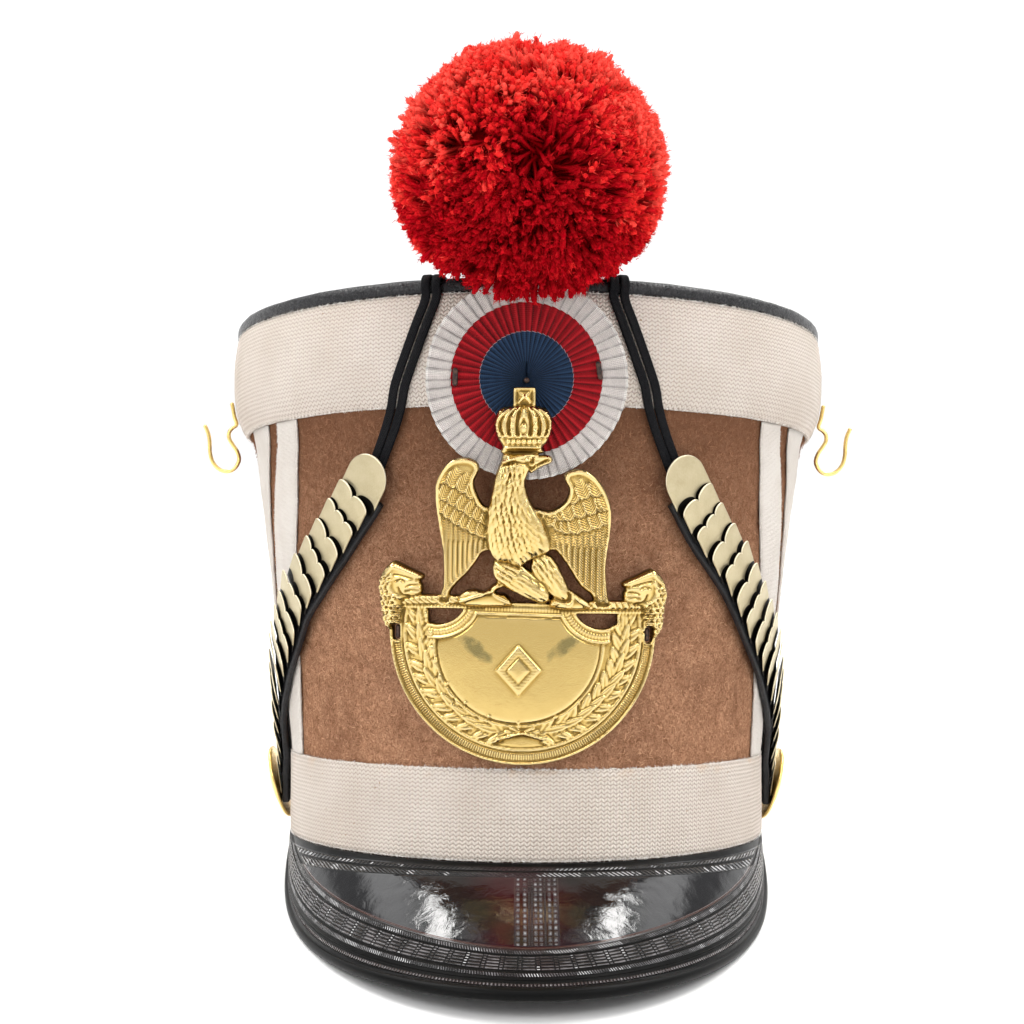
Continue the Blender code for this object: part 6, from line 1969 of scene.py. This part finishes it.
def make_laces():
    """Flat laces from one strap's end over the rim, across the crown and down to the other's."""
    for name, (left_top, left_low, right_top, right_low, back) in LACES.items():
        route = (lace_half(left_top, left_low, back) + [lace_on_crown(0.0, -back)]
                 + lace_half(right_top, right_low, back)[::-1])
        path, normals = np.split(smooth_path(route, 320), 2, axis=1)
        section = rounded_section(LACE_WIDTH, 0.0, LACE_THICKNESS, 0.45, 2, 3)
        body = swept(path, unit(normals), section[None])
        cloth = stack(np.append(section[:, 0], section[0, 0]), running_length(path)[:, None])
        rod_piece(name + "_plait", body, LACE, uv=cloth, covers=(name,), slot="lace")


# Wire hooks at the top band: distance from the middle, height.
HOOK_WIRE = (
    (114.4, 163.0), (113.3, 157.5), (112.4, 154.4), (114.0, 153.0), (115.2, 151.3), (115.2, 149.0),
    (113.9, 146.7), (112.1, 144.0), (111.2, 141.0), (112.2, 138.2), (114.2, 136.5), (116.7, 136.2),
    (119.3, 137.3), (121.5, 140.0), (122.5, 143.6), (122.7, 147.4), (123.3, 150.8), (124.8, 154.2),
)
HOOK_RADIUS = 0.75
HOOK_Y = -14.0


def make_hooks():
    """A bent wire hook on each side; its shank is hammered flat against the top band."""
    ring = circle(18)
    t = np.linspace(0, 1, 130)[:, None]
    wide = 1.0 + 0.45 * np.clip((0.16 - t) / 0.06, 0, 1)
    radius = HOOK_RADIUS * np.sqrt(np.clip(np.minimum(t, 1 - t) / 0.008, 0.03, 1))
    section = stack(radius * np.sin(ring), radius * wide * np.cos(ring))
    for side, sign in SIDES:
        path = smooth_path([(sign * x, HOOK_Y, z) for x, z in HOOK_WIRE], 130)
        tube = swept(path, (0.0, -1.0, 0.0), section)
        rod_piece(f"hook_wire_{side}", tube, BRASS, covers=(f"hook_{side}",),
                  marks={"lift": np.full(130 * 18, 0.7)}, slot="polished_brass")


make_cockade()
make_pompom()
make_chin_scales()
make_laces()
make_hooks()


# ------------------------------------------------------------------------------- floor and lights


# Light from the sky by how far up it comes from.
SKY_TOP = 2.55
SKY = ((0.0, 1.15), (0.22, 1.15), (0.33, 0.45), (0.52, 0.45), (0.60, SKY_TOP), (0.74, SKY_TOP), (0.82, 0.25),
       (1.0, 0.25))
# Soft lamps, in metres: place, the point it faces, width and height, power.
LAMPS = (
    ("lamp_left", (-1.25, -1.15, 1.0), (0.0, -0.05, 0.15), (0.45, 0.9), 7.0),
    ("lamp_right", (1.35, -1.05, 0.95), (0.0, -0.05, 0.15), (0.40, 0.8), 5.3),
    ("lamp_top", (0.0, -0.42, 1.5), (0.0, -0.1, 0.2), (0.8, 0.5), 6.5),
    ("lamp_back", (0.5, 1.5, 1.1), (0.0, 0.0, 0.15), (0.8, 0.6), 4.0),
    ("strip_left", (-0.61, 0.25, 1.09), (-0.03, -0.14, 0.0), (0.55, 0.16), 5.0),
    ("strip_right", (0.61, 0.25, 1.09), (0.03, -0.14, 0.0), (0.55, 0.16), 5.0),
    ("haze_left", (-0.32, 0.33, 1.17), (-0.03, -0.14, 0.0), (0.5, 0.24), 0.35),
    ("haze_right", (0.32, 0.33, 1.17), (0.03, -0.14, 0.0), (0.5, 0.24), 0.35),
)
# The camera in the hat's frame: millimetres from its origin, tilt up and roll in radians.
CAMERA_PLACE = (-5.85, -680.0, 75.0)
CAMERA_TILT = 0.069
CAMERA_ROLL = 0.005
LENS = 60.96
SENSOR = 36.0


def make_sky():
    """A white horizon, a dim middle height and a bright soft ceiling, by direction."""
    world = bpy.data.worlds.new("studio")
    bpy.context.scene.world = world
    world.use_nodes = True
    tree = world.node_tree
    way = tree.nodes.new("ShaderNodeTexCoord")
    parts = tree.nodes.new("ShaderNodeSeparateXYZ")
    tree.links.new(way.outputs["Generated"], parts.inputs[0])
    bands = tree.nodes.new("ShaderNodeValToRGB")
    tree.links.new(parts.outputs[2], bands.inputs[0])
    ramp = bands.color_ramp
    while len(ramp.elements) < len(SKY):
        ramp.elements.new(0.5)
    for element, (height, light) in zip(ramp.elements, SKY):
        element.position = height
        element.color = (light / SKY_TOP, light / SKY_TOP, light / SKY_TOP, 1.0)
    back = tree.nodes["Background"]
    tree.links.new(bands.outputs[0], back.inputs["Color"])
    back.inputs["Strength"].default_value = SKY_TOP


def make_stage():
    """A pale floor, soft lamps and a camera in front of the hat."""
    bpy.ops.mesh.primitive_plane_add(size=40.0)
    floor = bpy.context.object
    floor.name = "floor"
    ground = bpy.data.materials.new("floor_white")
    ground.use_nodes = True
    shader = ground.node_tree.nodes["Principled BSDF"]
    shader.inputs["Base Color"].default_value = (0.98, 0.98, 0.98, 1.0)
    shader.inputs["Roughness"].default_value = 0.75
    shader.inputs["Specular IOR Level"].default_value = 0.2
    floor.data.materials.append(ground)

    make_sky()
    for name, spot, target, size, power in LAMPS:
        lamp = bpy.data.lights.new(name, "AREA")
        lamp.shape = "RECTANGLE"
        lamp.size, lamp.size_y = size
        lamp.energy = power
        lamp.color = (1.0, 0.99, 0.97)
        placed = bpy.data.objects.new(name, lamp)
        bpy.context.scene.collection.objects.link(placed)
        placed.location = spot
        placed.rotation_euler = (Vector(target) - Vector(spot)).to_track_quat("-Z", "Y").to_euler()

    lens = bpy.data.cameras.new("camera")
    lens.lens, lens.sensor_width = LENS, SENSOR
    camera = bpy.data.objects.new("camera", lens)
    bpy.context.scene.collection.objects.link(camera)
    camera.matrix_world = (HAT @ Matrix.Translation(Vector(CAMERA_PLACE) * MM)
                           @ Matrix.Rotation(math.pi / 2 + CAMERA_TILT, 4, "X")
                           @ Matrix.Rotation(CAMERA_ROLL, 4, "Z"))
    bpy.context.scene.camera = camera
    bpy.context.scene.view_settings.view_transform = "Standard"


make_stage()
